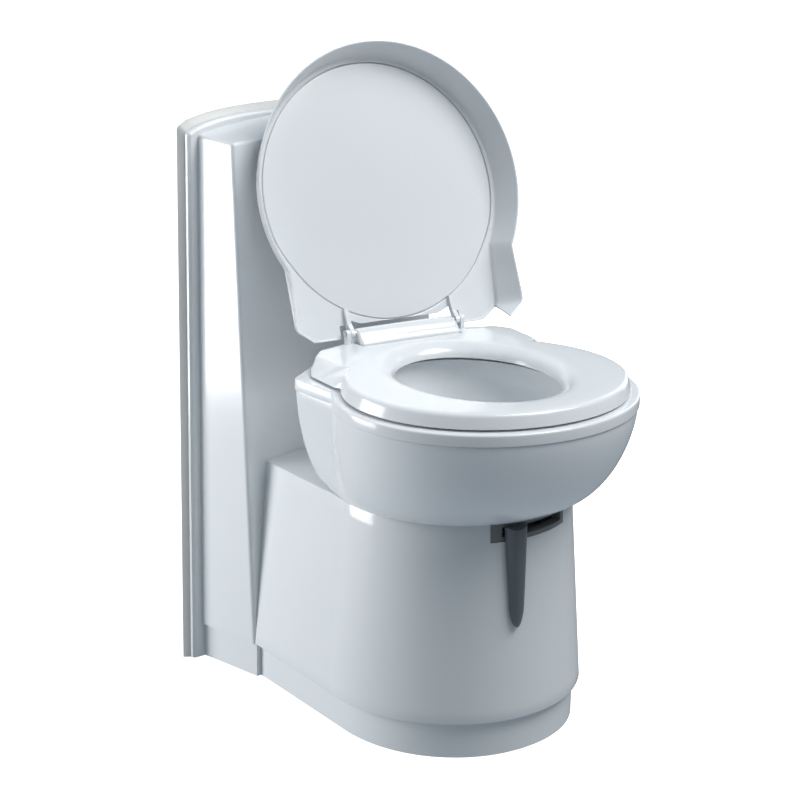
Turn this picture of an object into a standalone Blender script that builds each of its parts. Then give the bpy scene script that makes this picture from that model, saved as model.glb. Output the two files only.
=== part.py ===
"""Cassette toilet: swivelling bowl on a pedestal, backrest with a flush tank, waste cassette behind.

Metres, +Z up. The floor is z = 0 and the bowl turns about the Z axis. The sitter faces -Y and the
wall panel is at +Y. The bowl stands turned a little to the sitter's right, with its lid up.
"""
import math

import bmesh
import bpy
from mathutils import Matrix, Vector

# ---------------------------------------------------------------- driving dimensions
GAP = 0.0003            # clearance between pieces that touch
WALL = 0.0035           # moulded wall thickness
ROUND = 40              # facets round a turned piece

BOWL_TURN = math.radians(-9.0)     # how far the bowl is turned from straight ahead
LID_LEAN = math.radians(19.6)      # how far the raised lid leans back

# wall panel and backrest
PANEL_BACK = 0.3440
PANEL_HALF = 0.2045
PANEL_CHAMFER = 0.0085
PANEL_THICK = 0.0072
PANEL_SIDE_TOP = 0.7760            # where the arched top begins
PANEL_TOP = 0.7940
FLANGE_THICK = 0.0065
BUMP_BACK_HALF = 0.1806
BUMP_FRONT_HALF_LOW = 0.1662
BUMP_FRONT_HALF_TOP = 0.1712
BUMP_FRONT_LOW = 0.2225            # y of the backrest's front face at its foot
BUMP_FRONT_TOP = 0.2627            # and at its top edge
BUMP_EDGE_TOP = 0.7590             # z of the front top edge
BUMP_EDGE_CROWN = 0.0040
BUMP_BACK_SIDE_TOP = 0.7620        # z of the back top edge, at the sides
BUMP_BACK_MID_TOP = 0.7800
LID_HOLLOW_RADIUS = 0.2945         # shallow hollow that the raised lid turns past
LID_HOLLOW_FOOT = 0.6000
LID_HOLLOW_FULL = 0.6800

# pedestal and plinth
PLINTH_TOP = 0.0507
PED_FOOT = 0.0510
PED_TOP = 0.3215
PED_R_FOOT = 0.1829
PED_R_TOP = 0.1623
PED_CREASE = math.radians(101.6)   # where the round front meets the flat side
PED_REAR_FOOT = (0.1640, 0.2222)
PED_REAR_TOP = (0.1333, 0.2370)
PED_REAR_DROP = 0.0067             # the deck falls this much to its rear corners
PED_INSIDE_REAR = 0.2700           # the hollow runs on past the open rear
PLINTH_R = 0.1738                  # the plinth's round front reaches this far ahead
PLINTH_HALF = 0.1685               # and this far to each side
PLINTH_ROUND = 2.08                # exponent of its oval
PLINTH_CREASE = math.radians(98.2)
PLINTH_PED_REAR = (0.1525, 0.2242)
PLINTH_BUMP_FRONT = (0.1598, 0.2242)
PLINTH_BUMP_REAR = (0.1759, 0.3296)
DECK_THICK = 0.0040
DECK_UNDER = PED_TOP - DECK_THICK

# cassette and its bay
BAY_HALF = 0.1460
BAY_LOW = 0.0045
BAY_HIGH = 0.2350
FRONT_BAY_HALF = 0.1425            # the narrower way through the backrest's front face
FRONT_BAY_HIGH = 0.2160
CAS_HALF = 0.1400
CAS_FRONT = -0.1230
CAS_REAR = 0.3180
CAS_LOW = 0.0140
CAS_SEAM = 0.1150
CAS_TOP = 0.2050
CAS_STEP_Y = 0.2380                # behind this the top steps down for the spout
CAS_STEP_TOP = 0.1500
INLET_R = 0.0560

LATCH_X = 0.1000
LATCH_Y = 0.3220
LATCH_HALF = 0.0080
LATCH_THICK = 0.0040
LATCH_LOW = 0.2290
LATCH_LENGTH = 0.0350
CATCH_TOP = 0.2200                 # top of the cassette's catch post
FLOAT_AT = (-0.1000, -0.0500, 0.1750)

WHEEL_X = (0.1140, 0.1310)
WHEEL_Y = 0.2700
WHEEL_Z = 0.0256
WHEEL_R = 0.0200
AXLE_R = 0.0040
SPOUT_X = -0.0950
SPOUT_Y = 0.2780
SPOUT_Z = 0.1760
SPOUT_LENGTH = 0.1300
VENT_X = 0.1180
VENT_Y = 0.2620
BLADE_TOP = 0.1935
BLADE_THICK = 0.0030
HANDLE_X = 0.0850
HANDLE_Y = 0.3120
HANDLE_Z = 0.0185

# outlet, blade and lever
SLEEVE_R = 0.0500
SLEEVE_BORE = 0.0460
MECH_PLATE_Z = 0.2820
PINION_X = 0.0820
PINION_R = 0.0211
DRIVE_R = 0.0604
LEVER_ANGLE = math.radians(-11.0)  # where the lever stands, from straight ahead
ARM_LOW = 0.3030
ARM_HIGH = 0.3090
SLOT_FROM = math.radians(-15.5)
SLOT_TO = math.radians(21.5)
BEZEL_SPAN = math.radians(23.0)
BEZEL_LOW = 0.2955
BEZEL_HIGH = 0.3210
LEVER_TOP = 0.3170
LEVER_TIP = 0.1790
LEVER_HALF = 0.0170
LEVER_DEPTH = 0.0150

# bowl
COLLAR_R = 0.1125
COLLAR_BORE = 0.1085
DECK_HOLE_R = 0.1160
KEEPER_R = 0.1240                   # ring under the deck that holds the bowl down
BOWL_FOOT = 0.3225
BOWL_R_FOOT = 0.1623
RIM_LOW = 0.4572
RIM_TOP = 0.4730
RIM_CENTRE = -0.0790
RIM_HALF = 0.2060
RIM_REACH = 0.1833                 # half length of the rim's front ellipse
RIM_SIDE_FRONT = (0.1850, 0.0140)
RIM_SIDE_REAR = (0.1960, 0.0830)
RIM_BACK = (0.1150, 0.1500)
BORE_CENTRE = -0.0570
RIM_BORE = (0.1240, 0.1450)

# seat and lid, which share one hinge line on the bowl
HINGE_Y = 0.1285
HINGE_Z = 0.5076
SEAT_LOW = 0.4760
SEAT_TOP = 0.4950
SEAT_HALF_LOW = 0.1944
SEAT_HALF_TOP = 0.1878
SEAT_RATIO = 0.8900
SEAT_HOLE_LOW = (0.1030, 0.1240)
SEAT_HOLE_TOP = (0.1250, 0.1500)
SEAT_NOTCH_HALF = 0.0790
SEAT_NOTCH_Y = 0.1045
EAR_FROM = 0.0870
EAR_TO = 0.0930
EAR_R = 0.0058
HINGE_ROOM_HALF = 0.1035
HINGE_ROOM_TOP = -0.1720
PIN_R = 0.0030
BLOCK_HALF = 0.0780

LID_R = 0.2013                     # at the open rim
LID_DISC_R = 0.1840                # at the inner face
LID_DEPTH = 0.0390                 # rim plane to inner face
LID_CENTRE = 0.1885                # hinge line to lid centre, along the lid
LID_PIN_DEPTH = 0.0276             # rim plane to hinge line
LID_SHELL = 0.0025
WING_JOIN = (0.1762, -0.0990)
WING_CORNER = (0.1810, -0.1760)
WING_FOOT = (0.1460, -0.2030)
WING_OPEN = 0.1540                 # half width of the wings' open foot, which passes the seat
WING_FLOOR = 0.0320
WING_SLOPE = 0.0220                # how far the wing wall leans in between rim and floor
BRACKET_FROM = 0.0800
BRACKET_TO = 0.0862

# flush tank behind the backrest
TANK_LOW = 0.2650
TANK_TOP = 0.7350
TANK_HALF = 0.1560
TANK_WALL = 0.0030
TANK_BACK = 0.3290
TANK_FRONT_LOW = 0.2520
TANK_FRONT_MID = 0.2660
TANK_FRONT_TOP = 0.2990            # behind the hollow for the lid
FILLER_X = 0.0950
FILLER_Z = 0.6850
FILLER_R = 0.0300
PUMP_AT = (-0.0900, 0.3000)        # pump and tank outlet
UNION_AT = (-0.0850, 0.0640)
HOSE_Z = 0.2441
HOSE_R = 0.0050


# ---------------------------------------------------------------- scene set-up
for old in list(bpy.data.objects):
    bpy.data.objects.remove(old, do_unlink=True)

PARTS = bpy.data.collections.new("cassette_toilet")
CUTTERS = bpy.data.collections.new("cutters")
bpy.context.scene.collection.children.link(PARTS)
bpy.context.scene.collection.children.link(CUTTERS)


def material(name, colour, roughness, metallic=0.0):
    made = bpy.data.materials.new(name)
    made.use_nodes = True
    shader = made.node_tree.nodes["Principled BSDF"]
    shader.inputs["Base Color"].default_value = (*colour, 1.0)
    shader.inputs["Roughness"].default_value = roughness
    shader.inputs["Metallic"].default_value = metallic
    return made


GLOSS_WHITE = (0.80, 0.83, 0.85)
WARM_WHITE = (0.66, 0.66, 0.65)
INNER_WHITE = (0.74, 0.76, 0.77)
MID_GREY = (0.22, 0.24, 0.25)
SLATE = (0.10, 0.13, 0.16)
CASSETTE_GREY = (0.35, 0.38, 0.40)
BLACK_RUBBER = (0.03, 0.03, 0.03)
STEEL = (0.62, 0.63, 0.64)
FINISHES = {
    "gloss": (GLOSS_WHITE, 0.18, 0.0),
    "warm": (WARM_WHITE, 0.35, 0.0),
    "inner": (INNER_WHITE, 0.45, 0.0),
    "grey": (MID_GREY, 0.40, 0.0),
    "slate": (SLATE, 0.28, 0.0),
    "tank": (CASSETTE_GREY, 0.45, 0.0),
    "rubber": (BLACK_RUBBER, 0.70, 0.0),
    "steel": (STEEL, 0.25, 1.0),
}

SWIVEL = bpy.data.objects.new("swivel_axis", None)
SWIVEL.rotation_euler.z = BOWL_TURN
LID_AXIS = bpy.data.objects.new("lid_axis", None)
LID_AXIS.location = (0.0, HINGE_Y, HINGE_Z)
LID_AXIS.rotation_euler.x = -(math.radians(90.0) + LID_LEAN)
SEAT_AXIS = bpy.data.objects.new("seat_axis", None)
SEAT_AXIS.location = (0.0, HINGE_Y, HINGE_Z)
for axis in (SWIVEL, LID_AXIS, SEAT_AXIS):
    PARTS.objects.link(axis)
LID_AXIS.parent = SWIVEL
SEAT_AXIS.parent = SWIVEL


# ---------------------------------------------------------------- modelling helpers
def add(name, mesh, finish, parent=None, origin=(0.0, 0.0, 0.0), smooth=False):
    """Link a finished mesh as a named piece whose own origin is at origin."""
    if origin != (0.0, 0.0, 0.0):
        mesh.transform(Matrix.Translation(-Vector(origin)))
    piece = bpy.data.objects.new(name, mesh)
    piece.location = origin
    if finish:
        mesh.materials.append(material(name, *FINISHES[finish]))
        PARTS.objects.link(piece)
    else:
        CUTTERS.objects.link(piece)
        piece.hide_render = True
        piece.display_type = "WIRE"
    piece.parent = parent
    if smooth:
        mesh.shade_smooth()
    return piece


def close_mesh(bm, name):
    bmesh.ops.recalc_face_normals(bm, faces=bm.faces)
    mesh = bpy.data.meshes.new(name)
    bm.to_mesh(mesh)
    bm.free()
    return mesh


def loft_mesh(name, rings, endless=False):
    """Skin rings of equal length; endless joins the last ring to the first, else both ends close."""
    bm = bmesh.new()
    loops = [[bm.verts.new(point) for point in ring] for ring in rings]
    count = len(loops[0])
    pairs = list(zip(loops, loops[1:]))
    if endless:
        pairs.append((loops[-1], loops[0]))
    for low, high in pairs:
        for i in range(count):
            j = (i + 1) % count
            bm.faces.new((low[i], low[j], high[j], high[i]))
    if not endless:
        bm.faces.new(loops[0])
        bm.faces.new(loops[-1])
    return close_mesh(bm, name)


def prism_mesh(name, outline, low, high):
    """A plan outline raised from z = low to z = high."""
    return loft_mesh(name, [[(x, y, low) for x, y in outline], [(x, y, high) for x, y in outline]])


def box_mesh(name, low, high):
    bm = bmesh.new()
    size = [b - a for a, b in zip(low, high)]
    middle = [(a + b) / 2.0 for a, b in zip(low, high)]
    bmesh.ops.create_cube(bm, size=1.0, matrix=Matrix.LocRotScale(middle, None, size))
    return close_mesh(bm, name)


def rod_mesh(name, start, end, radius, facets=20):
    """A cylinder between two points."""
    bm = bmesh.new()
    start = Vector(start)
    along = Vector(end) - start
    turn = along.to_track_quat("Z", "Y").to_matrix().to_4x4()
    place = Matrix.Translation(start + along / 2.0) @ turn
    bmesh.ops.create_cone(bm, cap_ends=True, segments=facets, radius1=radius, radius2=radius,
                          depth=along.length, matrix=place)
    return close_mesh(bm, name)


def turned(name, profile, finish, parent=None, at=(0.0, 0.0), facets=ROUND):
    """Spin a (radius, z) profile about a vertical axis; one that touches the axis is left open there."""
    on_axis = [i for i, (radius, z) in enumerate(profile) if radius == 0.0]
    if on_axis:
        profile = [profile[-1]] + profile[:-1]
    mesh = bpy.data.meshes.new(name)
    bm = bmesh.new()
    points = [bm.verts.new((radius, 0.0, z)) for radius, z in profile]
    for near, far in zip(points, points[1:]):
        bm.edges.new((near, far))
    if not on_axis:
        bm.edges.new((points[-1], points[0]))
    bm.to_mesh(mesh)
    bm.free()
    piece = add(name, mesh, finish, parent)
    piece.location = (at[0], at[1], 0.0)
    screw = piece.modifiers.new("spin", "SCREW")
    screw.steps = facets
    screw.render_steps = facets
    screw.use_merge_vertices = True
    screw.merge_threshold = 0.00005
    return piece


def combine(piece, other, operation="DIFFERENCE"):
    """Cut or join another solid, kept in the cutters collection."""
    change = piece.modifiers.new(operation.lower(), "BOOLEAN")
    change.operation = operation
    change.solver = "EXACT"
    change.object = other
    return piece


def cutter(name, mesh, parent=None):
    return add("cut_" + name, mesh, None, parent)


def cut_box(piece, name, low, high, parent=None):
    combine(piece, cutter(name, box_mesh(name, low, high), parent))


def cut_rod(piece, name, start, end, radius, parent=None, facets=24):
    combine(piece, cutter(name, rod_mesh(name, start, end, radius, facets), parent))


def mix(a, b, t):
    return a + (b - a) * t


def arc(radius, start, end, steps, centre=(0.0, 0.0)):
    """Points on a circle; angles are from straight ahead (-Y), positive toward +X."""
    turns = [mix(start, end, i / steps) for i in range(steps + 1)]
    return [(centre[0] + radius * math.sin(t), centre[1] - radius * math.cos(t)) for t in turns]


def mirrored(points):
    """Add the +X half of an outline to its -X half, which runs from rear to front."""
    return points + [(-x, y) for x, y in reversed(points)]


def arc_block_mesh(name, inner, outer, low, high, start, end, steps=16):
    outline = arc(outer, start, end, steps) + arc(inner, end, start, steps)
    return prism_mesh(name, outline, low, high)


def reach(outline, angle, origin):
    """Where a ray from origin meets an outline; the angle is from straight ahead."""
    dx, dy = math.sin(angle), -math.cos(angle)
    best = 0.0
    for (ax, ay), (bx, by) in zip(outline, outline[1:] + outline[:1]):
        ex, ey = bx - ax, by - ay
        cross = dx * ey - dy * ex
        if abs(cross) < 1e-12:
            continue
        along = ((ax - origin[0]) * ey - (ay - origin[1]) * ex) / cross
        across = ((ax - origin[0]) * dy - (ay - origin[1]) * dx) / cross
        if along > best and -1e-9 <= across <= 1.0 + 1e-9:
            best = along
    return (origin[0] + dx * best, origin[1] + dy * best)


def ellipse(half, reach_y, centre, steps=96):
    turns = [2.0 * math.pi * i / steps for i in range(steps)]
    return [(half * math.sin(t), centre - reach_y * math.cos(t)) for t in turns]


def ring_at(outline, angles, origin, z):
    return [(*reach(outline, angle, origin), z) for angle in angles]


def grown(outline, by):
    """Move every point of an outline away from the swivel axis by a distance."""
    moved = []
    for x, y in outline:
        length = math.hypot(x, y)
        moved.append((x * (length + by) / length, y * (length + by) / length))
    return moved


# ---------------------------------------------------------------- wall panel and backrest
def panel_outline(half, foot, side_top, top, corner, steps=12):
    """Arched panel seen from the front, as (x, z) points, wound from the lower left."""
    points = [(-half, foot), (half, foot)]
    rise = top - side_top
    for i in range(3):
        t = math.radians(45.0 * i)
        points.append((half - corner + corner * math.cos(t), side_top - corner + corner * math.sin(t)))
    for i in range(1, steps):
        x = mix(half - corner, corner - half, i / steps)
        points.append((x, side_top + rise * (1.0 - (x / half) ** 4)))
    for i in range(3):
        t = math.radians(90.0 + 45.0 * i)
        points.append((corner - half + corner * math.cos(t), side_top - corner + corner * math.sin(t)))
    return points


def plate_rings(near, far, y_near, y_far):
    return [[(x, y_near, z) for x, z in near], [(x, y_far, z) for x, z in far]]


def make_wall_panel():
    back = panel_outline(PANEL_HALF, 0.0, PANEL_SIDE_TOP, PANEL_TOP, 0.008)
    inset = PANEL_CHAMFER
    front = panel_outline(PANEL_HALF - inset, 0.0, PANEL_SIDE_TOP - inset, PANEL_TOP - inset, 0.006)
    face = PANEL_BACK - PANEL_THICK
    mesh = loft_mesh("rear_wall_panel", plate_rings(front, back, face, PANEL_BACK))
    panel = add("rear_wall_panel", mesh, "warm")
    cut_box(panel, "panel_bay", (-BAY_HALF, face - 0.01, BAY_LOW), (BAY_HALF, PANEL_BACK + 0.01, BAY_HIGH))
    cut_rod(panel, "panel_filler", (FILLER_X, face - 0.01, FILLER_Z), (FILLER_X, PANEL_BACK + 0.01, FILLER_Z),
            FILLER_R + 0.002)
    low = (LATCH_X - LATCH_HALF - 0.0060, LATCH_Y - 0.0055, 0.2400)
    guide = box_mesh("latch_guide", low, (LATCH_X + LATCH_HALF + 0.0060, face + 0.0010, 0.2600))
    combine(panel, cutter("latch_guide", guide), "UNION")
    half = LATCH_HALF + GAP
    thick = LATCH_THICK / 2.0 + GAP
    cut_box(panel, "latch_way", (LATCH_X - half, LATCH_Y - thick, 0.2300),
            (LATCH_X + half, LATCH_Y + thick, 0.2700))
    return panel


def bump_front(z):
    """y of the backrest's front face at a height."""
    rise = (z - PED_FOOT) / (BUMP_EDGE_TOP - PED_FOOT)
    return mix(BUMP_FRONT_LOW, BUMP_FRONT_TOP, rise)


def hollow_front(x, z):
    """The front face where the raised lid turns past it."""
    face = bump_front(z)
    if abs(x) >= LID_HOLLOW_RADIUS or z <= LID_HOLLOW_FOOT:
        return face
    fade = min(1.0, (z - LID_HOLLOW_FOOT) / (LID_HOLLOW_FULL - LID_HOLLOW_FOOT))
    clear = math.sqrt(LID_HOLLOW_RADIUS ** 2 - x * x)
    return face + max(0.0, clear - face) * fade


def bump_sections(inset, back, stations=18):
    """Upright (y, z) sections of the backrest from its -X side to its +X side."""
    sections = []
    for i in range(stations + 1):
        u = mix(-1.0, 1.0, i / stations)
        crown = 1.0 - u * u
        low_x = u * (BUMP_FRONT_HALF_LOW - inset)
        top_x = u * (BUMP_FRONT_HALF_TOP - inset)
        back_x = u * (BUMP_BACK_HALF - inset)
        edge_z = BUMP_EDGE_TOP + BUMP_EDGE_CROWN * crown - inset
        back_z = mix(BUMP_BACK_SIDE_TOP, BUMP_BACK_MID_TOP, crown) - inset
        foot_z = PED_FOOT + inset
        section = [(back_x, back, foot_z), (low_x, bump_front(foot_z) + inset, foot_z)]
        for z in (LID_HOLLOW_FOOT, mix(LID_HOLLOW_FOOT, LID_HOLLOW_FULL, 0.5), LID_HOLLOW_FULL, edge_z):
            x = mix(low_x, top_x, (z - PED_FOOT) / (BUMP_EDGE_TOP - PED_FOOT))
            section.append((x, hollow_front(x, z) + inset, z))
        section.append((back_x, back, back_z))
        sections.append(section)
    return sections


def make_backrest():
    flange_back = PANEL_BACK - PANEL_THICK - GAP
    flange_face = flange_back - FLANGE_THICK
    rear = PANEL_CHAMFER + GAP
    near = rear + 0.0040
    outer = panel_outline(PANEL_HALF - rear, 0.0, PANEL_SIDE_TOP - rear, PANEL_TOP - rear, 0.006)
    inner = panel_outline(PANEL_HALF - near, 0.0, PANEL_SIDE_TOP - near, PANEL_TOP - near, 0.004)
    mesh = loft_mesh("backrest_housing", plate_rings(inner, outer, flange_face, flange_back))
    housing = add("backrest_housing", mesh, "gloss")
    bump = loft_mesh("bump", bump_sections(0.0, flange_back - 0.001))
    combine(housing, cutter("bump", bump), "UNION")
    hollow = loft_mesh("bump_inside", bump_sections(WALL, flange_back + 0.010))
    combine(housing, cutter("bump_inside", hollow))
    cut_box(housing, "front_bay", (-FRONT_BAY_HALF, 0.20, -0.01), (FRONT_BAY_HALF, 0.31, FRONT_BAY_HIGH))
    cut_box(housing, "flange_bay", (-BAY_HALF, 0.30, -0.01), (BAY_HALF, flange_back + 0.01, BAY_HIGH))
    foot = box_mesh("foot_bar", (-BAY_HALF - 0.004, flange_face, 0.0), (BAY_HALF + 0.004, flange_back, 0.004))
    combine(housing, cutter("foot_bar", foot), "UNION")
    cut_rod(housing, "hose_hole", (PUMP_AT[0], 0.20, HOSE_Z), (PUMP_AT[0], 0.26, HOSE_Z), HOSE_R + 0.0015)
    cut_box(housing, "plinth_room", (-0.1765, 0.20, -0.01), (0.1765, flange_face, PED_FOOT))
    return housing


# ---------------------------------------------------------------- pedestal, plinth and tray
def pedestal_outline(z, inset=0.0, rear=None, steps=30):
    """Plan outline at a height: round front, flat sides that run back to the backrest."""
    up = (z - PED_FOOT) / (PED_TOP - PED_FOOT)
    radius = mix(PED_R_FOOT, PED_R_TOP, up) - inset
    rear_x = mix(PED_REAR_FOOT[0], PED_REAR_TOP[0], up) - inset
    rear_y = bump_front(z) - GAP if rear is None else rear
    front = arc(radius, -PED_CREASE, PED_CREASE, steps)
    return [(-rear_x, rear_y)] + front + [(rear_x, rear_y)]


def deck_height(x, y):
    """The deck is level under the bowl and falls away to its rear corners."""
    back = max(0.0, (y - 0.060) / (PED_REAR_TOP[1] - 0.060))
    return PED_TOP - PED_REAR_DROP * back * (x / PED_REAR_TOP[0]) ** 2


def pedestal_inside(z, inset):
    """The outline moved in by a wall thickness, its sides carried on past the open rear."""
    points = pedestal_outline(z)
    (rear_x, rear_y), (side_x, side_y) = points[0], points[1]
    run = (PED_INSIDE_REAR - side_y) / (rear_y - side_y)
    far_x = mix(side_x, rear_x, run)
    inner = pedestal_outline(z, inset)[1:-1]
    return [(far_x + inset, PED_INSIDE_REAR)] + inner + [(-far_x - inset, PED_INSIDE_REAR)]


def make_pedestal():
    foot = [(x, y, PED_FOOT) for x, y in pedestal_outline(PED_FOOT)]
    rear = bump_front(PED_TOP - PED_REAR_DROP) - GAP
    top = [(x, y, deck_height(x, y)) for x, y in pedestal_outline(PED_TOP, rear=rear)]
    shell = add("pedestal_shell", loft_mesh("pedestal_shell", [foot, top]), "gloss")
    under = PED_TOP - PED_REAR_DROP - DECK_THICK
    lip = PED_FOOT + WALL
    inside = [[(x, y, z) for x, y in pedestal_inside(z, WALL)] for z in (lip, under)]
    combine(shell, cutter("pedestal_inside", loft_mesh("pedestal_inside", inside)))
    throat = pedestal_inside(PED_FOOT, PED_R_FOOT - PLINTH_R + WALL)
    combine(shell, cutter("pedestal_throat", prism_mesh("throat", throat, 0.0, lip + 0.001)))
    cut_rod(shell, "deck_hole", (0, 0, 0.25), (0, 0, 0.35), DECK_HOLE_R, facets=ROUND)
    cut_rod(shell, "keeper_room", (0, 0, 0.25), (0, 0, DECK_UNDER), KEEPER_R + 0.006, facets=ROUND)
    notch = arc_block_mesh("notch", 0.1500, 0.1800, BEZEL_LOW - GAP, 0.33, -BEZEL_SPAN, BEZEL_SPAN)
    combine(shell, cutter("notch", notch))
    return shell


def plinth_front(inset, steps=28):
    """The plinth's oval front, from its left crease to its right one."""
    points = []
    for i in range(steps + 1):
        angle = mix(-PLINTH_CREASE, PLINTH_CREASE, i / steps)
        across = abs(math.sin(angle)) / (PLINTH_HALF - inset)
        ahead = abs(math.cos(angle)) / (PLINTH_R - inset)
        radius = (across ** PLINTH_ROUND + ahead ** PLINTH_ROUND) ** (-1.0 / PLINTH_ROUND)
        points.append((radius * math.sin(angle), -radius * math.cos(angle)))
    return points


def plinth_path(inset=0.0):
    """The toe recess from the left rear end round the front to the right rear end."""
    left = [
        (-(PLINTH_BUMP_REAR[0] - inset), PLINTH_BUMP_REAR[1]),
        (-(PLINTH_BUMP_FRONT[0] - inset), PLINTH_BUMP_FRONT[1] + inset),
        (-(PLINTH_PED_REAR[0] - inset), PLINTH_PED_REAR[1] + inset),
    ]
    return left + plinth_front(inset) + [(-x, y) for x, y in reversed(left)]


def make_plinth():
    outline = plinth_path() + list(reversed(plinth_path(WALL)))
    return add("plinth", prism_mesh("plinth", outline, 0.0, PLINTH_TOP), "gloss")


def make_base_tray():
    outline = [(x, y) for x, y in plinth_path(WALL + GAP) if y < 0.2]
    rear = [(-0.1400, 0.3290), (-0.1440, 0.2280)]
    outline = rear + outline + [(-x, y) for x, y in reversed(rear)]
    tray = add("base_tray", prism_mesh("base_tray", outline, 0.0, 0.0045), "inner")
    for side in (-1, 1):
        x0, x1 = sorted((side * 0.1408, side * 0.1436))
        rail = box_mesh("rail", (x0, 0.030, 0.0030), (x1, 0.215, 0.0330))
        combine(tray, cutter("rail", rail), "UNION")
    return tray


# ---------------------------------------------------------------- blade mechanism
def make_bezel():
    mesh = arc_block_mesh("slot_bezel", 0.1503, 0.1640, BEZEL_LOW, BEZEL_HIGH,
                          -BEZEL_SPAN + 0.002, BEZEL_SPAN - 0.002)
    bezel = add("slot_bezel", mesh, "grey")
    slot = arc_block_mesh("slot", 0.1400, 0.1800, ARM_LOW - 0.0012, ARM_HIGH + 0.0012, SLOT_FROM, SLOT_TO)
    return combine(bezel, cutter("slot", slot))


def make_mechanism():
    top = MECH_PLATE_Z + 0.004
    plate = [(0.1575, top), (0.1575, MECH_PLATE_Z), (SLEEVE_R + GAP, MECH_PLATE_Z), (SLEEVE_R + GAP, top)]
    mount = turned("mechanism_plate", plate, "inner")
    cut_rod(mount, "shaft_hole", (PINION_X, 0, 0.27), (PINION_X, 0, 0.30), 0.0066)
    flange = top + GAP
    sleeve = [
        (SLEEVE_R, 0.3105), (SLEEVE_R, flange + 0.0035), (DRIVE_R - 0.001, flange + 0.0035),
        (DRIVE_R - 0.001, flange), (SLEEVE_R, flange), (SLEEVE_R, CAS_TOP + 0.0004),
        (SLEEVE_BORE, CAS_TOP + 0.0004), (SLEEVE_BORE, 0.3105),
    ]
    turned("outlet_sleeve", sleeve, "inner")
    low = flange + 0.0035 + GAP
    ring = [(DRIVE_R, ARM_HIGH), (DRIVE_R, low), (SLEEVE_R + GAP, low), (SLEEVE_R + GAP, ARM_HIGH)]
    drive = turned("drive_ring", ring, "grey")
    arm = box_mesh("arm", (-0.0040, -0.1655, ARM_LOW), (0.0040, -0.0560, ARM_HIGH))
    arm.transform(Matrix.Rotation(LEVER_ANGLE, 4, "Z"))
    combine(drive, cutter("arm", arm), "UNION")
    shaft = [
        (PINION_R, 0.3060), (PINION_R, 0.2985), (0.0060, 0.2985), (0.0060, CAS_TOP + 0.0006),
        (0.0, CAS_TOP + 0.0006), (0.0, 0.3060),
    ]
    return turned("blade_drive_shaft", shaft, "grey", at=(PINION_X, 0.0), facets=24)


def make_lever():
    """A tapered half-round tongue that hangs outside the pedestal."""
    rings = []
    rows = 10
    for i in range(rows + 1):
        t = i / rows
        z = mix(LEVER_TOP, LEVER_TIP, t)
        back = mix(PED_R_FOOT, PED_R_TOP, (z - PED_FOOT) / (PED_TOP - PED_FOOT)) + 0.0032
        narrow = math.sqrt(max(0.0, 1.0 - max(0.0, (t - 0.72) / 0.28) ** 2))
        half = max(0.0025, mix(LEVER_HALF, LEVER_HALF * 0.62, min(1.0, t / 0.72)) * narrow)
        depth = max(0.0030, mix(LEVER_DEPTH, LEVER_DEPTH * 0.55, t) * mix(1.0, narrow, 0.6))
        sweep = [math.radians(-90.0 + 18.0 * k) for k in range(11)]
        ring = [(half * math.sin(a), -back - depth * math.cos(a), z) for a in sweep]
        rings.append(ring)
    mesh = loft_mesh("blade_lever", rings)
    mesh.transform(Matrix.Rotation(LEVER_ANGLE, 4, "Z"))
    lever = add("blade_lever", mesh, "slate")
    socket = box_mesh("socket", (-0.0043, -0.1658, ARM_LOW - GAP), (0.0043, -0.1500, ARM_HIGH + GAP))
    socket.transform(Matrix.Rotation(LEVER_ANGLE, 4, "Z"))
    return combine(lever, cutter("socket", socket))


# ---------------------------------------------------------------- bowl
def rim_outline():
    """Plan of the bowl's rim: a round front that meets a box at the hinge end."""
    front = []
    for i in range(61):
        t = math.radians(mix(-120.0, 120.0, i / 60))
        x = RIM_HALF * math.sin(t)
        y = RIM_CENTRE - RIM_REACH * math.cos(t)
        if y < RIM_SIDE_FRONT[1] - 0.004:
            front.append((x, y))
    rear = [RIM_SIDE_FRONT, RIM_SIDE_REAR, RIM_BACK]
    return front + rear + [(-x, y) for x, y in reversed(rear)]


def bowl_angles(count=48):
    """Even steps round the bowl, with the rim's corners put in exactly."""
    corners = [math.atan2(x, -y) for x, y in (RIM_SIDE_FRONT, RIM_SIDE_REAR, RIM_BACK)]
    corners += [-angle for angle in corners]
    even = [mix(-math.pi, math.pi, i / count) for i in range(count)]
    kept = [a for a in even if min(abs(a - c) for c in corners) > 0.035]
    return sorted(kept + corners)


def circle_ring(radius, angles, z):
    return [(radius * math.sin(a), -radius * math.cos(a), z) for a in angles]


def swelling(t):
    """How far the bowl has opened out at a fraction of its height."""
    return (1.0 - (1.0 - t) ** 1.6) ** 0.55


def bowl_ring(angles, outline, t, inset, low, high):
    """One level of the bowl between its round foot and its rim outline."""
    ring = []
    share = swelling(t)
    for angle in angles:
        x, y = reach(outline, angle, (0.0, 0.0))
        radius = mix(BOWL_R_FOOT, math.hypot(x, y), share) - inset
        ring.append((radius * math.sin(angle), -radius * math.cos(angle), mix(low, high, t)))
    return ring


def make_bowl_shell():
    outline = grown(rim_outline(), -0.0020)
    angles = bowl_angles()
    top = RIM_LOW - GAP
    levels = (0.0, 0.04, 0.12, 0.27, 0.45, 0.66, 1.0)
    rings = [bowl_ring(angles, outline, t, 0.0, BOWL_FOOT, top) for t in reversed(levels)]
    rings.append(circle_ring(COLLAR_R, angles, BOWL_FOOT))
    rings.append(circle_ring(COLLAR_R, angles, 0.3115))
    rings.append(circle_ring(COLLAR_BORE, angles, 0.3115))
    rings.append(circle_ring(COLLAR_BORE, angles, BOWL_FOOT + WALL))
    rings += [bowl_ring(angles, outline, t, WALL, BOWL_FOOT + WALL, top) for t in levels]
    return add("bowl_shell", loft_mesh("bowl_shell", rings, endless=True), "gloss", SWIVEL)


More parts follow.
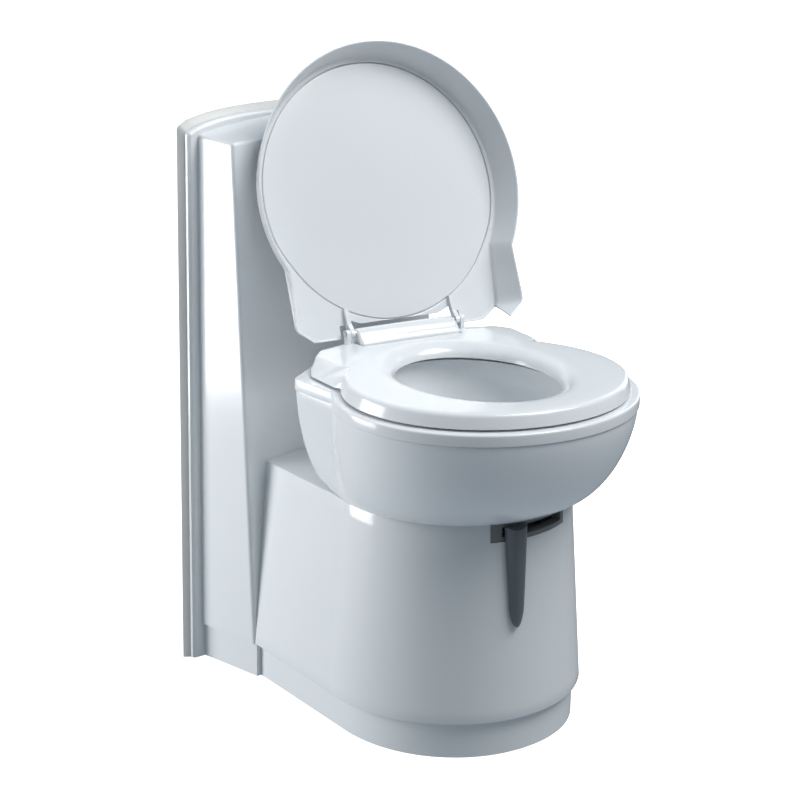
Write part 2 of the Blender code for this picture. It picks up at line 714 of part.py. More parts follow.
def make_bowl_rim():
    outline = rim_outline()
    inner = grown(outline, -0.0040)
    bore = ellipse(*RIM_BORE, BORE_CENTRE)
    angles = bowl_angles()
    origin = (0.0, 0.0)
    rings = [
        ring_at(outline, angles, origin, RIM_LOW),
        ring_at(outline, angles, origin, RIM_TOP - 0.0015),
        ring_at(grown(outline, -0.0015), angles, origin, RIM_TOP),
        ring_at(bore, angles, origin, RIM_TOP),
        ring_at(bore, angles, origin, RIM_TOP - 0.0040),
        ring_at(inner, angles, origin, RIM_TOP - 0.0040),
        ring_at(inner, angles, origin, RIM_LOW),
    ]
    return add("bowl_rim", loft_mesh("bowl_rim", rings, endless=True), "gloss", SWIVEL)


def make_bowl_liner():
    """The inner bowl, which runs back and down to the outlet on the swivel axis."""
    angles = [mix(-math.pi, math.pi, i / 44) for i in range(44)]
    levels = [
        (0.4685, 0.1190, 0.1400, -0.0570), (0.4400, 0.1160, 0.1370, -0.0560), (0.4050, 0.1030, 0.1230, -0.0520),
        (0.3700, 0.0800, 0.0960, -0.0370), (0.3450, 0.0560, 0.0620, -0.0130), (0.3300, 0.0415, 0.0415, 0.0),
        (0.2930, 0.0415, 0.0415, 0.0),
    ]
    skin = 0.0030
    lip = ring_at(ellipse(0.1225, 0.1435, -0.0570), angles, (0.0, 0.0), 0.4685)
    inside = [ring_at(ellipse(a, b, c), angles, (0.0, 0.0), z) for z, a, b, c in levels]
    outside = [
        ring_at(ellipse(a + skin, b + skin, c), angles, (0.0, 0.0), z - skin * 0.6)
        for z, a, b, c in levels[1:-1]
    ]
    spigot = ring_at(ellipse(0.0445, 0.0445, 0.0), angles, (0.0, 0.0), levels[-1][0])
    rings = [lip] + inside + [spigot] + list(reversed(outside))
    rings.append(ring_at(ellipse(0.1225, 0.1435, -0.0570), angles, (0.0, 0.0), 0.4650))
    return add("bowl_liner", loft_mesh("bowl_liner", rings, endless=True), "gloss", SWIVEL, smooth=True)


def make_swivel_rings():
    outer, inner = DECK_HOLE_R - 0.0010, COLLAR_R + 0.0010
    glide = [(outer, PED_TOP + GAP), (outer, DECK_UNDER), (inner, DECK_UNDER), (inner, PED_TOP + GAP)]
    turned("glide_ring", glide, "inner")
    top = DECK_UNDER - GAP
    keeper = [(KEEPER_R, top), (KEEPER_R, top - 0.0035), (inner, top - 0.0035), (inner, top)]
    return turned("retaining_ring", keeper, "inner", SWIVEL)


def make_hinge_block():
    """The cover over the hinge pins, a little higher in the middle."""
    stations = 9
    rings = []
    for i in range(stations):
        u = mix(-1.0, 1.0, i / (stations - 1))
        x = u * BLOCK_HALF
        crown = 0.0015 * (1.0 - u * u)
        section = [(0.1070, RIM_TOP + GAP), (0.1070, 0.4940), (0.1140, 0.5035 + crown), (0.1230, 0.5108 + crown)]
        section += [(0.1325, 0.5132 + crown * 0.4), (0.1385, 0.5090), (0.1395, RIM_TOP + GAP)]
        rings.append([(x, y, z) for y, z in section])
    block = add("hinge_block", loft_mesh("hinge_block", rings), "gloss", SWIVEL)
    cut_rod(block, "pin_bore", (-0.09, HINGE_Y, HINGE_Z), (0.09, HINGE_Y, HINGE_Z), PIN_R + GAP, SWIVEL)
    return block


def make_hinge_pins():
    for name, side in (("hinge_pin_left", -1), ("hinge_pin_right", 1)):
        ends = [(side * x, HINGE_Y, HINGE_Z) for x in (0.0520, EAR_TO + 0.0008)]
        add(name, rod_mesh(name, ends[0], ends[1], PIN_R), "steel", SWIVEL)


def make_rinse_nozzle():
    """The flush jet that stands on the liner's lip, under the rear of the rim."""
    body = box_mesh("rinse_nozzle", (-0.016, 0.0880, 0.4460), (0.016, 0.1080, 0.4645))
    nozzle = add("rinse_nozzle", body, "inner", SWIVEL)
    cut_rod(nozzle, "jet_bore", (0, 0.0975, 0.4300), (0, 0.0975, 0.4580), 0.0050, SWIVEL)
    return nozzle


# ---------------------------------------------------------------- seat
def seat_outline(top):
    half = SEAT_HALF_TOP if top else SEAT_HALF_LOW
    corner = (0.1530, 0.0405) if top else (0.1758, 0.0130)
    side = (0.1555, 0.0980) if top else (0.1780, 0.0700)
    back = (0.1400, 0.1185) if top else (0.1610, 0.1010)
    tail = (0.0860, 0.1350) if top else (0.0990, 0.1310)
    front = []
    for i in range(61):
        t = math.radians(mix(-140.0, 140.0, i / 60))
        x = half * math.sin(t)
        y = RIM_CENTRE - half * SEAT_RATIO * math.cos(t)
        if y < corner[1] - 0.006:
            front.append((x, y))
    rear = [corner, side, back, tail]
    return front + rear + [(-x, y) for x, y in reversed(rear)]


def seat_angles(origin, count=44):
    marks = [(0.1530, 0.0405), (0.1555, 0.0980), (0.1400, 0.1185), (0.0860, 0.1350)]
    corners = [math.atan2(x - origin[0], -(y - origin[1])) for x, y in marks]
    corners += [-angle for angle in corners]
    even = [mix(-math.pi, math.pi, i / count) for i in range(count)]
    kept = [a for a in even if min(abs(a - c) for c in corners) > 0.04]
    return sorted(kept + corners)


def make_seat():
    origin = (0.0, BORE_CENTRE)
    angles = seat_angles(origin)
    low, top = seat_outline(False), seat_outline(True)
    lip = [(0.0, 0.0), (0.35, 0.10), (0.68, 0.32), (0.90, 0.62), (1.0, 1.0)]
    rings = [
        ring_at(low, angles, origin, SEAT_LOW),
        ring_at(top, angles, origin, SEAT_TOP - 0.0010),
        ring_at([(x * 0.988, y * 0.988) for x, y in top], angles, origin, SEAT_TOP),
    ]
    for across, down in lip:
        half = mix(SEAT_HOLE_TOP[0], SEAT_HOLE_LOW[0], across)
        length = mix(SEAT_HOLE_TOP[1], SEAT_HOLE_LOW[1], across)
        rings.append(ring_at(ellipse(half, length, BORE_CENTRE), angles, origin,
                             mix(SEAT_TOP, SEAT_LOW, down)))
    mesh = loft_mesh("seat_ring", rings, endless=True)
    hinge = (0.0, HINGE_Y, HINGE_Z)
    mesh.transform(Matrix.Translation(-Vector(hinge)))
    seat = add("seat_ring", mesh, "gloss", SEAT_AXIS)
    notch_y = SEAT_NOTCH_Y - HINGE_Y
    cut_box(seat, "seat_notch", (-SEAT_NOTCH_HALF, notch_y, -0.08), (SEAT_NOTCH_HALF, 0.05, 0.02), SEAT_AXIS)
    for name, side in (("ear_left", -1), ("ear_right", 1)):
        x0, x1 = sorted((side * EAR_FROM, side * EAR_TO))
        turns = [math.radians(30.0 * k) for k in range(7)]
        section = [(EAR_R * math.cos(a), EAR_R * math.sin(a)) for a in turns]
        section += [(-EAR_R, SEAT_TOP - HINGE_Z - 0.004), (0.002, SEAT_TOP - HINGE_Z - 0.004)]
        ear = loft_mesh(name, [[(x, y, z) for y, z in section] for x in (x0, x1)])
        lug = cutter(name, ear, SEAT_AXIS)
        cut_rod(lug, name + "_bore", (side * 0.05, 0, 0), (side * 0.12, 0, 0), PIN_R + GAP, SEAT_AXIS)
        combine(seat, lug, "UNION")
    return seat


def make_seat_bumpers():
    spots = ((-0.125, -0.160), (0.125, -0.160), (-0.152, 0.030), (0.152, 0.030))
    for number, (x, y) in enumerate(spots, 1):
        name = "seat_bumper_%d" % number
        low = RIM_TOP + GAP - HINGE_Z
        high = SEAT_LOW - GAP - HINGE_Z
        mesh = rod_mesh(name, (x, y - HINGE_Y, low), (x, y - HINGE_Y, high), 0.0080, 16)
        add(name, mesh, "rubber", SEAT_AXIS)


# ---------------------------------------------------------------- lid
def lid_point(x, s, d):
    """Lid coordinates (across, along from its centre, depth behind the rim) in the hinge's frame."""
    return (x, -(s + LID_CENTRE), d - LID_PIN_DEPTH)


def lid_outline(depth, inset):
    """The wall's outline at a depth: a circle with two wings that run down to the hinge."""
    lean = depth / LID_DEPTH
    radius = mix(LID_R, LID_DISC_R + LID_SHELL, lean) - inset
    slope = WING_SLOPE * depth / WING_FLOOR
    join = math.atan2(WING_JOIN[0], -WING_JOIN[1])
    points = [(radius * math.sin(a), -radius * math.cos(a)) for a in
              [mix(join, 2.0 * math.pi - join, i / 36) for i in range(37)]]
    corner = (WING_CORNER[0] - slope - inset, WING_CORNER[1])
    foot = (WING_FOOT[0] - slope * 0.6 - inset, WING_FOOT[1] + slope * 0.4 + inset * 0.5)
    return [(foot[0], foot[1]), (corner[0], corner[1])] + points + [(-corner[0], corner[1]), (-foot[0], foot[1])]


def make_lid_shell():
    """Skirt, back and wings in one moulding, open on the side that faces the seat."""
    floor = LID_DEPTH + 0.0022
    back = floor + LID_SHELL
    outer = [[lid_point(x, s, d) for x, s in lid_outline(min(d, LID_DEPTH), 0.0)] for d in (0.0, back)]
    shell = add("lid_shell", loft_mesh("lid_shell", outer), "gloss", LID_AXIS)
    inner = [[lid_point(x, s, d) for x, s in lid_outline(min(d, LID_DEPTH), LID_SHELL)]
             for d in (-0.001, WING_FLOOR)]
    combine(shell, cutter("lid_inside", loft_mesh("lid_inside", inner), LID_AXIS))
    dish = [lid_ring(LID_DISC_R + 0.006, 0.020), lid_ring(LID_DISC_R + GAP, floor)]
    combine(shell, cutter("lid_dish", loft_mesh("lid_dish", dish), LID_AXIS))
    for name, side in (("wing_back_right", 1), ("wing_back_left", -1)):
        behind = [[lid_point(x, s, d) for x, s in wing_back(side)] for d in (WING_FLOOR + LID_SHELL, 0.06)]
        combine(shell, cutter(name, loft_mesh(name, behind), LID_AXIS))
    low = lid_point(-HINGE_ROOM_HALF, HINGE_ROOM_TOP, -0.01)
    high = lid_point(HINGE_ROOM_HALF, -0.2300, 0.06)
    cut_box(shell, "hinge_room", *box_corners(low, high), LID_AXIS)
    low = lid_point(-WING_OPEN, -0.1500, -0.01)
    high = lid_point(WING_OPEN, -0.2300, WING_FLOOR - 0.0004)
    cut_box(shell, "foot_room", *box_corners(low, high), LID_AXIS)
    for side in (-1, 1):
        low = lid_point(side * (BRACKET_FROM - 0.0005), -0.1480, -0.01)
        high = lid_point(side * (BRACKET_TO + 0.0005), -0.2300, LID_DEPTH - GAP)
        cut_box(shell, "bracket_room", *box_corners(low, high), LID_AXIS)
    low = lid_point(-BRACKET_TO - 0.0005, -0.1000, -0.01)
    high = lid_point(BRACKET_TO + 0.0005, -0.2300, 0.06)
    gap = add_cutter_minus_disc("hinge_gap", low, high)
    return combine(shell, gap)


def lid_ring(radius, depth, steps=56):
    turns = [2.0 * math.pi * i / steps for i in range(steps)]
    return [lid_point(radius * math.sin(t), radius * math.cos(t), depth) for t in turns]


def wing_back(side):
    """Plan of the room behind one wing, outside the lid's round back."""
    radius = LID_DISC_R + LID_SHELL
    start, end = math.radians(150.0), math.radians(100.0)
    round_part = [(radius * math.sin(mix(start, end, i / 8)), radius * math.cos(mix(start, end, i / 8)))
                  for i in range(9)]
    outside = [(0.26, round_part[-1][1]), (0.26, -0.26), (round_part[0][0], -0.26)]
    return [(side * x, s) for x, s in round_part + outside]


def box_corners(a, b):
    return tuple(map(min, zip(a, b))), tuple(map(max, zip(a, b)))


def add_cutter_minus_disc(name, low, high):
    """A box between the hinge brackets that stops at the lid's round back."""
    lower, upper = box_corners(low, high)
    gap = cutter(name, box_mesh(name, lower, upper), LID_AXIS)
    disc = [lid_ring(LID_DISC_R + LID_SHELL, -0.02), lid_ring(LID_DISC_R + LID_SHELL, 0.07)]
    combine(gap, cutter(name + "_disc", loft_mesh(name + "_disc", disc), LID_AXIS))
    return gap


def make_lid_disc():
    """The flat inner face of the lid, with a turned-up edge."""
    top = LID_DEPTH
    rings = [lid_ring(LID_DISC_R - 0.0006, top), lid_ring(LID_DISC_R - 0.0006, top + 0.0019)]
    return add("lid_inner_disc", loft_mesh("lid_inner_disc", rings), "gloss", LID_AXIS)


def make_lid_brackets():
    """Stepped cheeks that carry the lid on the hinge pins."""
    for name, side in (("lid_bracket_left", -1), ("lid_bracket_right", 1)):
        pin_s = -LID_CENTRE
        pin_d = LID_PIN_DEPTH
        round_end = []
        for angle in range(-60, 181, 30):
            a = math.radians(angle)
            round_end.append((pin_s - EAR_R * math.sin(a), pin_d - EAR_R * math.cos(a)))
        section = round_end + [(-0.1700, 0.0386), (-0.1540, 0.0386), (-0.1540, 0.0330), (-0.1745, 0.0300)]
        x0, x1 = sorted((side * BRACKET_FROM, side * BRACKET_TO))
        mesh = loft_mesh(name, [[lid_point(x, s, d) for s, d in section] for x in (x0, x1)])
        bracket = add(name, mesh, "gloss", LID_AXIS)
        cut_rod(bracket, name + "_bore", (-0.12, 0, 0), (0.12, 0, 0), PIN_R + GAP, LID_AXIS)


# ---------------------------------------------------------------- water system
def tank_sections(inset):
    rows = (
        (TANK_LOW + inset, TANK_FRONT_LOW), (0.5700, TANK_FRONT_MID), (0.6500, TANK_FRONT_TOP),
        (TANK_TOP - inset, TANK_FRONT_TOP),
    )
    half = TANK_HALF - inset
    back = TANK_BACK - inset
    return [[(-half, front + inset, z), (half, front + inset, z), (half, back, z), (-half, back, z)]
            for z, front in rows]


def make_water_tank():
    tank = add("water_tank", loft_mesh("water_tank", tank_sections(0.0)), "tank")
    combine(tank, cutter("tank_inside", loft_mesh("tank_inside", tank_sections(TANK_WALL))))
    neck = rod_mesh("neck", (FILLER_X, 0.3270, FILLER_Z), (FILLER_X, 0.3360, FILLER_Z), FILLER_R - 0.004, 28)
    combine(tank, cutter("neck", neck), "UNION")
    cut_rod(tank, "neck_bore", (FILLER_X, 0.3100, FILLER_Z), (FILLER_X, 0.3400, FILLER_Z), FILLER_R - 0.007)
    outlet = rod_mesh("tank_outlet", (*PUMP_AT, 0.2560), (*PUMP_AT, 0.2660), 0.0085, 20)
    combine(tank, cutter("tank_outlet", outlet), "UNION")
    cut_rod(tank, "outlet_bore", (*PUMP_AT, 0.2500), (*PUMP_AT, 0.2720), HOSE_R + 0.0005)
    return tank


def make_filler_cap():
    cap = rod_mesh("filler_cap", (FILLER_X, 0.3363, FILLER_Z), (FILLER_X, 0.3430, FILLER_Z), FILLER_R, 32)
    piece = add("filler_cap", cap, "tank", None, (FILLER_X, 0.3400, FILLER_Z))
    lower = (-0.018, -0.0008, -0.0025)
    grip = box_mesh("cap_grip", lower, (0.018, 0.0040, 0.0025))
    mark = cutter("cap_grip", grip)
    mark.location = piece.location
    return combine(piece, mark)


def make_pump():
    """The flush pump, standing on the tank floor over its outlet."""
    low = TANK_LOW + TANK_WALL + GAP
    body = [(0.0180, low + 0.085), (0.0180, low + 0.012), (0.0220, low + 0.010), (0.0220, low)]
    body += [(0.0, low), (0.0, low + 0.085)]
    return turned("flush_pump", body, "grey", at=PUMP_AT, facets=24)


def curve_tube(name, points, radius, finish):
    line = bpy.data.curves.new(name, "CURVE")
    line.dimensions = "3D"
    line.bevel_depth = radius
    line.bevel_resolution = 2
    line.use_fill_caps = True
    spline = line.splines.new("POLY")
    spline.points.add(len(points) - 1)
    for slot, point in zip(spline.points, points):
        slot.co = (*point, 1.0)
    tube = bpy.data.objects.new(name, line)
    line.materials.append(material(name, *FINISHES[finish]))
    PARTS.objects.link(tube)
    return tube


def make_flush_hose():
    """Water line from the tank outlet to the union beside the bowl outlet."""
    x, y = PUMP_AT
    route = [(x, y, 0.2555), (x, y, 0.2515), (x, y - 0.004, 0.2465), (x, y - 0.013, HOSE_Z), (x, 0.120, HOSE_Z)]
    x, y = UNION_AT
    route += [(x - 0.004, y + 0.020, 0.2460), (x - 0.002, y + 0.007, 0.2520), (x, y, 0.2620), (x, y, 0.2740)]
    curve_tube("flush_hose", route, HOSE_R, "tank")
    union = [(0.0085, MECH_PLATE_Z - GAP), (0.0085, 0.2745), (0.0, 0.2745), (0.0, MECH_PLATE_Z - GAP)]
    return turned("hose_union", union, "grey", at=UNION_AT, facets=20)


# ---------------------------------------------------------------- cassette
def cassette_outline(inset=0.0, rear=CAS_REAR):
    half = CAS_HALF - inset
    side = [(-half, rear - inset), (-half, -0.0600), (-0.1020 + inset * 0.4, CAS_FRONT + inset)]
    return mirrored(side)


def make_cassette_lower():
    outline = cassette_outline()
    shell = add("cassette_lower", prism_mesh("cassette_lower", outline, CAS_LOW, CAS_SEAM), "tank")
    inside = prism_mesh("lower_inside", cassette_outline(WALL), 0.0540, CAS_SEAM + 0.01)
    combine(shell, cutter("lower_inside", inside))
    deep = prism_mesh("lower_deep", cassette_outline(0.030, 0.255), CAS_LOW + WALL + 0.012, 0.0550)
    combine(shell, cutter("lower_deep", deep))
    for side in (-1, 1):
        x0, x1 = sorted((side * 0.1070, side * 0.1520))
        cut_box(shell, "wheel_pocket", (x0, WHEEL_Y - 0.0240, 0.0), (x1, WHEEL_Y + 0.0240, 0.0490))
        x0, x1 = sorted((side * (HANDLE_X - 0.0065), side * (HANDLE_X + 0.0065)))
        cut_box(shell, "rod_groove", (x0, 0.0500, 0.0), (x1, 0.3300, 0.0222))
    cut_rod(shell, "axle_bore", (-0.135, WHEEL_Y, WHEEL_Z), (0.135, WHEEL_Y, WHEEL_Z), AXLE_R + GAP)
    cut_box(shell, "grip_room", (-0.0920, 0.3020, 0.0), (0.0920, 0.3300, 0.0400))
    return shell


def make_cassette_upper():
    outline = cassette_outline()
    shell = add("cassette_upper", prism_mesh("cassette_upper", outline, CAS_SEAM + GAP, CAS_TOP), "tank")
    cut_box(shell, "step", (-0.2, CAS_STEP_Y, CAS_STEP_TOP), (0.2, 0.4, 0.3))
    front = prism_mesh("upper_front", cassette_outline(WALL, CAS_STEP_Y), CAS_SEAM - 0.01, CAS_TOP - 0.004)
    combine(shell, cutter("upper_front", front))
    rear = prism_mesh("upper_rear", cassette_outline(WALL), CAS_SEAM - 0.01, CAS_STEP_TOP - 0.004)
    combine(shell, cutter("upper_rear", rear))
    cut_rod(shell, "inlet", (0, 0, 0.18), (0, 0, 0.22), INLET_R, facets=ROUND)
    cut_rod(shell, "spindle_hole", (PINION_X, 0, 0.18), (PINION_X, 0, 0.22), 0.0068)
    cut_rod(shell, "spout_hole", (SPOUT_X, SPOUT_Y, 0.13), (SPOUT_X, SPOUT_Y, 0.16), 0.0170)
    cut_rod(shell, "vent_hole", (VENT_X, VENT_Y, 0.13), (VENT_X, VENT_Y, 0.16), 0.0063)
    low = (LATCH_X - 0.0070, 0.3060, CAS_STEP_TOP - 0.0020)
    catch = box_mesh("catch", low, (LATCH_X + 0.0070, CAS_REAR, CATCH_TOP))
    combine(shell, cutter("catch", catch), "UNION")
    x, y, z = FLOAT_AT
    low = (x - 0.0105, y - 0.0060, z - 0.0070)
    lug = box_mesh("float_lug", low, (x - 0.0065, y + 0.0060, CAS_TOP - 0.0020))
    pin = rod_mesh("float_pin", (x - 0.0100, y, z), (x + 0.0055, y, z), 0.0019, 12)
    combine(shell, cutter("float_lug", lug), "UNION")
    return combine(shell, cutter("float_pin", pin), "UNION")


def make_wheels():
    axle = rod_mesh("wheel_axle", (-0.1330, WHEEL_Y, WHEEL_Z), (0.1330, WHEEL_Y, WHEEL_Z), AXLE_R)
    add("wheel_axle", axle, "steel")
    for name, side in (("wheel_left", -1), ("wheel_right", 1)):
        ends = [(side * x, WHEEL_Y, WHEEL_Z) for x in WHEEL_X]
        wheel = add(name, rod_mesh(name, ends[0], ends[1], WHEEL_R, 32), "rubber", None, (0.0, WHEEL_Y, WHEEL_Z))
        cut_rod(wheel, name + "_bore", (-0.16, WHEEL_Y, WHEEL_Z), (0.16, WHEEL_Y, WHEEL_Z), AXLE_R + GAP)


def make_cassette_seal():
    low = BLADE_TOP + GAP
    profile = [(INLET_R - GAP, CAS_TOP), (INLET_R - GAP, low + 0.0045), (0.0520, low), (0.0450, low)]
    profile += [(0.0450, CAS_TOP)]
    return turned("cassette_seal", profile, "rubber")


def make_blade():
    """A round shutter on an arm, turned by the spindle beside the inlet."""
    low = BLADE_TOP - BLADE_THICK
    disc = rod_mesh("cassette_blade", (0, 0, low), (0, 0, BLADE_TOP), 0.0550, ROUND)
    blade = add("cassette_blade", disc, "grey", None, (PINION_X, 0.0, 0.0))
    arm = cutter("blade_arm", box_mesh("blade_arm", (-0.060, -0.012, low), (0.0, 0.012, BLADE_TOP)))
    arm.location.x = PINION_X
    combine(blade, arm, "UNION")
    post = cutter("spindle", rod_mesh("spindle", (0, 0, low), (0, 0, CAS_TOP), 0.0062, 24))
    post.location.x = PINION_X
    return combine(blade, post, "UNION")


def make_sliding_cover():
    """The lid over the cassette inlet, pushed back while the cassette is in its bay."""
    low = CAS_TOP + GAP + 0.0002
    plate = box_mesh("sliding_cover", (-0.0620, 0.0600, low), (0.0620, 0.1840, low + 0.0040))
    cover = add("sliding_cover", plate, "tank")
    cut_box(cover, "cover_pull", (-0.0250, 0.1660, low + 0.0020), (0.0250, 0.1750, low + 0.0100))
    return cover


def make_spout():
    """The emptying spout lies along the step and swings out about its upright stem."""
    high = SPOUT_Z + 0.0200
    foot = CAS_STEP_TOP + GAP
    stem = [
        (0.0210, high), (0.0210, foot), (0.0165, foot), (0.0165, foot - 0.0038), (0.0140, foot - 0.0038),
        (0.0140, SPOUT_Z), (0.0, SPOUT_Z), (0.0, high),
    ]
    spout = turned("pour_spout", stem, "tank", at=(SPOUT_X, SPOUT_Y), facets=32)
    pipe = cutter("pipe", rod_mesh("pipe", (0, 0, SPOUT_Z), (SPOUT_LENGTH, 0, SPOUT_Z), 0.0195, 28))
    mouth = (SPOUT_LENGTH + 0.0200, 0, SPOUT_Z)
    bore = cutter("pipe_bore", rod_mesh("pipe_bore", (0, 0, SPOUT_Z), mouth, 0.0160, 28))
    for shape in (pipe, bore):
        shape.location = (SPOUT_X, SPOUT_Y, 0.0)
    combine(spout, pipe, "UNION")
    return combine(spout, bore)


def make_spout_cap():
    end = SPOUT_X + SPOUT_LENGTH + GAP
    mesh = rod_mesh("spout_cap", (end, SPOUT_Y, SPOUT_Z), (end + 0.0140, SPOUT_Y, SPOUT_Z), 0.0215, 24)
    return add("spout_cap", mesh, "slate", None, (end, SPOUT_Y, SPOUT_Z))


def make_vent_button():
    head = CAS_STEP_TOP + 0.0055
    profile = [(0.0110, head + 0.004), (0.0110, head), (0.0058, head), (0.0058, 0.1380), (0.0, 0.1380)]
    profile += [(0.0, head + 0.004)]
    return turned("vent_button", profile, "slate", at=(VENT_X, VENT_Y), facets=20)


def make_trolley_handle():
    """Two rods under the cassette joined by a grip, pulled out to wheel it away."""
    y, z = HANDLE_Y, HANDLE_Z
    grip = rod_mesh("trolley_handle", (-HANDLE_X, y, z), (HANDLE_X, y, z), 0.0060, 16)
    bars = add("trolley_handle", grip, "slate")
    for side in (-1, 1):
        x = side * HANDLE_X
        rod = rod_mesh("handle_rod", (x, 0.0550, z), (x, y, z), 0.0025, 12)
        combine(bars, cutter("handle_rod", rod), "UNION")
        knuckle = rod_mesh("knuckle", (x, y - 0.0080, z), (x, y + 0.0060, z), 0.0062, 12)
        combine(bars, cutter("knuckle", knuckle), "UNION")
    return bars


def make_cassette_latch():
    """The bolt over the bay: lifted here, it drops behind the cassette's catch to hold it in."""
    half = LATCH_THICK / 2.0
    bolt = box_mesh("cassette_latch", (-LATCH_HALF, -half, 0.0), (LATCH_HALF, half, LATCH_LENGTH))
    latch = add("cassette_latch", bolt, "slate")
    tab = cutter("latch_tab", box_mesh("latch_tab", (-LATCH_HALF - 0.0020, -half, 0.0),
                                       (LATCH_HALF + 0.0020, 0.0180, 0.0042)))
    for shape in (latch, tab):
        shape.location = (LATCH_X, LATCH_Y, LATCH_LOW)
    return combine(latch, tab, "UNION")


def make_level_float():
    """The float whose arm lifts as the cassette fills."""
    ball = rod_mesh("level_float", (-0.1180, 0.0150, 0.1600), (-0.0820, 0.0150, 0.1600), 0.0130, 20)
    float_arm = add("level_float", ball, "rubber", None, FLOAT_AT)
    arm = cutter("float_arm", rod_mesh("float_arm", (0, 0, 0), (0, 0.0600, -0.0120), 0.0025, 12))
    arm.location = FLOAT_AT
    hub = cutter("float_hub", rod_mesh("float_hub", (-0.0060, 0, 0), (0.0060, 0, 0), 0.0050, 16))
    hub.location = FLOAT_AT
    combine(float_arm, arm, "UNION")
    combine(float_arm, hub, "UNION")
    x, y, z = FLOAT_AT
    cut_rod(float_arm, "float_bore", (x - 0.01, y, z), (x + 0.01, y, z), 0.0022, None, 12)
    return float_arm


make_wall_panel()
make_backrest()
make_pedestal()
make_plinth()
make_base_tray()
make_bezel()
make_mechanism()
make_lever()
make_bowl_shell()
make_bowl_rim()
make_bowl_liner()
make_swivel_rings()
make_hinge_block()
make_hinge_pins()
make_rinse_nozzle()
make_seat()
make_seat_bumpers()
make_lid_shell()
make_lid_disc()
make_lid_brackets()
make_water_tank()
make_filler_cap()
make_pump()
make_flush_hose()
make_cassette_lower()
make_cassette_upper()
make_wheels()
make_cassette_seal()
make_blade()
make_sliding_cover()
make_spout()
make_spout_cap()
make_vent_button()
make_trolley_handle()
make_cassette_latch()
make_level_float()
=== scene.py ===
"""Looks of the cassette toilet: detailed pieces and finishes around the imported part. Metres, +Z up."""
import math

import bmesh
import bpy
from mathutils import Matrix, Vector


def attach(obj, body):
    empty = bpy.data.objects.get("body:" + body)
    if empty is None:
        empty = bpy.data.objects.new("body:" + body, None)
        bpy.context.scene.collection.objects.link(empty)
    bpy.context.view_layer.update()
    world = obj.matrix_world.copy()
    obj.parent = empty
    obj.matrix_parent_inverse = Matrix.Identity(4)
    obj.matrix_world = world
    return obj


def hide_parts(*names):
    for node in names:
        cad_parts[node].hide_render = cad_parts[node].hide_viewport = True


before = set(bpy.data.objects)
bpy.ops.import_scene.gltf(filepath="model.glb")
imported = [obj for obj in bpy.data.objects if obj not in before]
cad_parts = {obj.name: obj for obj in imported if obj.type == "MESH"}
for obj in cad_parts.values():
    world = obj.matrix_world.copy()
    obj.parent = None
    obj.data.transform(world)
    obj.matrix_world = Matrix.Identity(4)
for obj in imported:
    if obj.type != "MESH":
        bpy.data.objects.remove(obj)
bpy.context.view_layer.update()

# ---------------------------------------------------------------- dimensions, nearly all as in the part
BOWL_TURN = math.radians(-9.0)
LID_LEAN = math.radians(19.6)
PANEL_BACK, PANEL_HALF, PANEL_CHAMFER, PANEL_THICK = 0.3440, 0.2045, 0.0085, 0.0072
PANEL_SIDE_TOP, PANEL_TOP = 0.7760, 0.7940
FLANGE_BACK, FLANGE_FACE = 0.3365, 0.3300
BUMP_BACK_HALF, BUMP_HALF_LOW, BUMP_HALF_TOP = 0.1806, 0.1662, 0.1712
BUMP_FRONT_LOW, BUMP_FRONT_TOP, BUMP_EDGE_TOP = 0.2225, 0.2627, 0.7590
BUMP_BACK_SIDE_TOP, BUMP_BACK_MID_TOP = 0.7620, 0.7800
HOLLOW_RADIUS, HOLLOW_FOOT, HOLLOW_FULL = 0.2945, 0.6000, 0.6800
BAY_HALF, BAY_SILL, BAY_TOP = 0.1460, 0.0045, 0.2350
FRONT_BAY_HALF, FRONT_BAY_TOP = 0.1425, 0.2160
FILLER_X, FILLER_Z, FILLER_HOLE_R = 0.0950, 0.6850, 0.0320
HOSE_X, HOSE_Z, HOSE_HOLE_R = -0.0900, 0.2441, 0.0065
WALL = 0.0035
PED_FOOT, PED_TOP, PED_R_FOOT, PED_R_TOP = 0.0510, 0.3215, 0.1829, 0.1623
PED_CREASE = math.radians(101.6)
PED_REAR_FOOT, PED_REAR_TOP, PED_REAR_DROP = (0.1640, 0.2222), (0.1333, 0.2370), 0.0067
PED_EDGE, DECK_HOLE_R, KEEPER_R = 0.0011, 0.1160, 0.1300
PLINTH_TOP, PLINTH_R, PLINTH_HALF, PLINTH_ROUND = 0.0507, 0.1738, 0.1685, 2.08
PLINTH_CREASE = math.radians(98.2)
CREASE_BEYOND = 0.1600
BEZEL_SPAN, BEZEL_LOW, BEZEL_HIGH = math.radians(22.9), 0.2955, 0.3210
LEVER_TOP, LEVER_TIP, LEVER_HALF, LEVER_TIP_HALF = 0.3170, 0.1790, 0.0170, 0.0108
BOWL_FOOT, BOWL_R_FOOT, COLLAR_R, COLLAR_FOOT = 0.3225, 0.1623, 0.1125, 0.3115
RIM_LOW, RIM_TOP, RIM_CENTRE, RIM_HALF, RIM_REACH = 0.4572, 0.4730, -0.0790, 0.2060, 0.1833
RIM_REAR = ((0.1850, 0.0140), (0.1960, 0.0830), (0.1150, 0.1500))
RIM_BORE, BORE_CENTRE = (0.1240, 0.1450), -0.0570
LINER_TOP, LINER_FOOT, LINER_EDGE = 0.4685, 0.2930, (0.1225, 0.1435)
HINGE_Y, HINGE_Z, HINGE_HALF, HINGE_BORE_R = 0.1285, 0.5076, 0.0780, 0.0033
EAR_FROM, EAR_TO, EAR_R = 0.0870, 0.0930, 0.0058
SEAT_LOW, SEAT_TOP, SEAT_RATIO = 0.4760, 0.4950, 0.8900
SEAT_HALF_LOW, SEAT_HALF_TOP = 0.1944, 0.1878
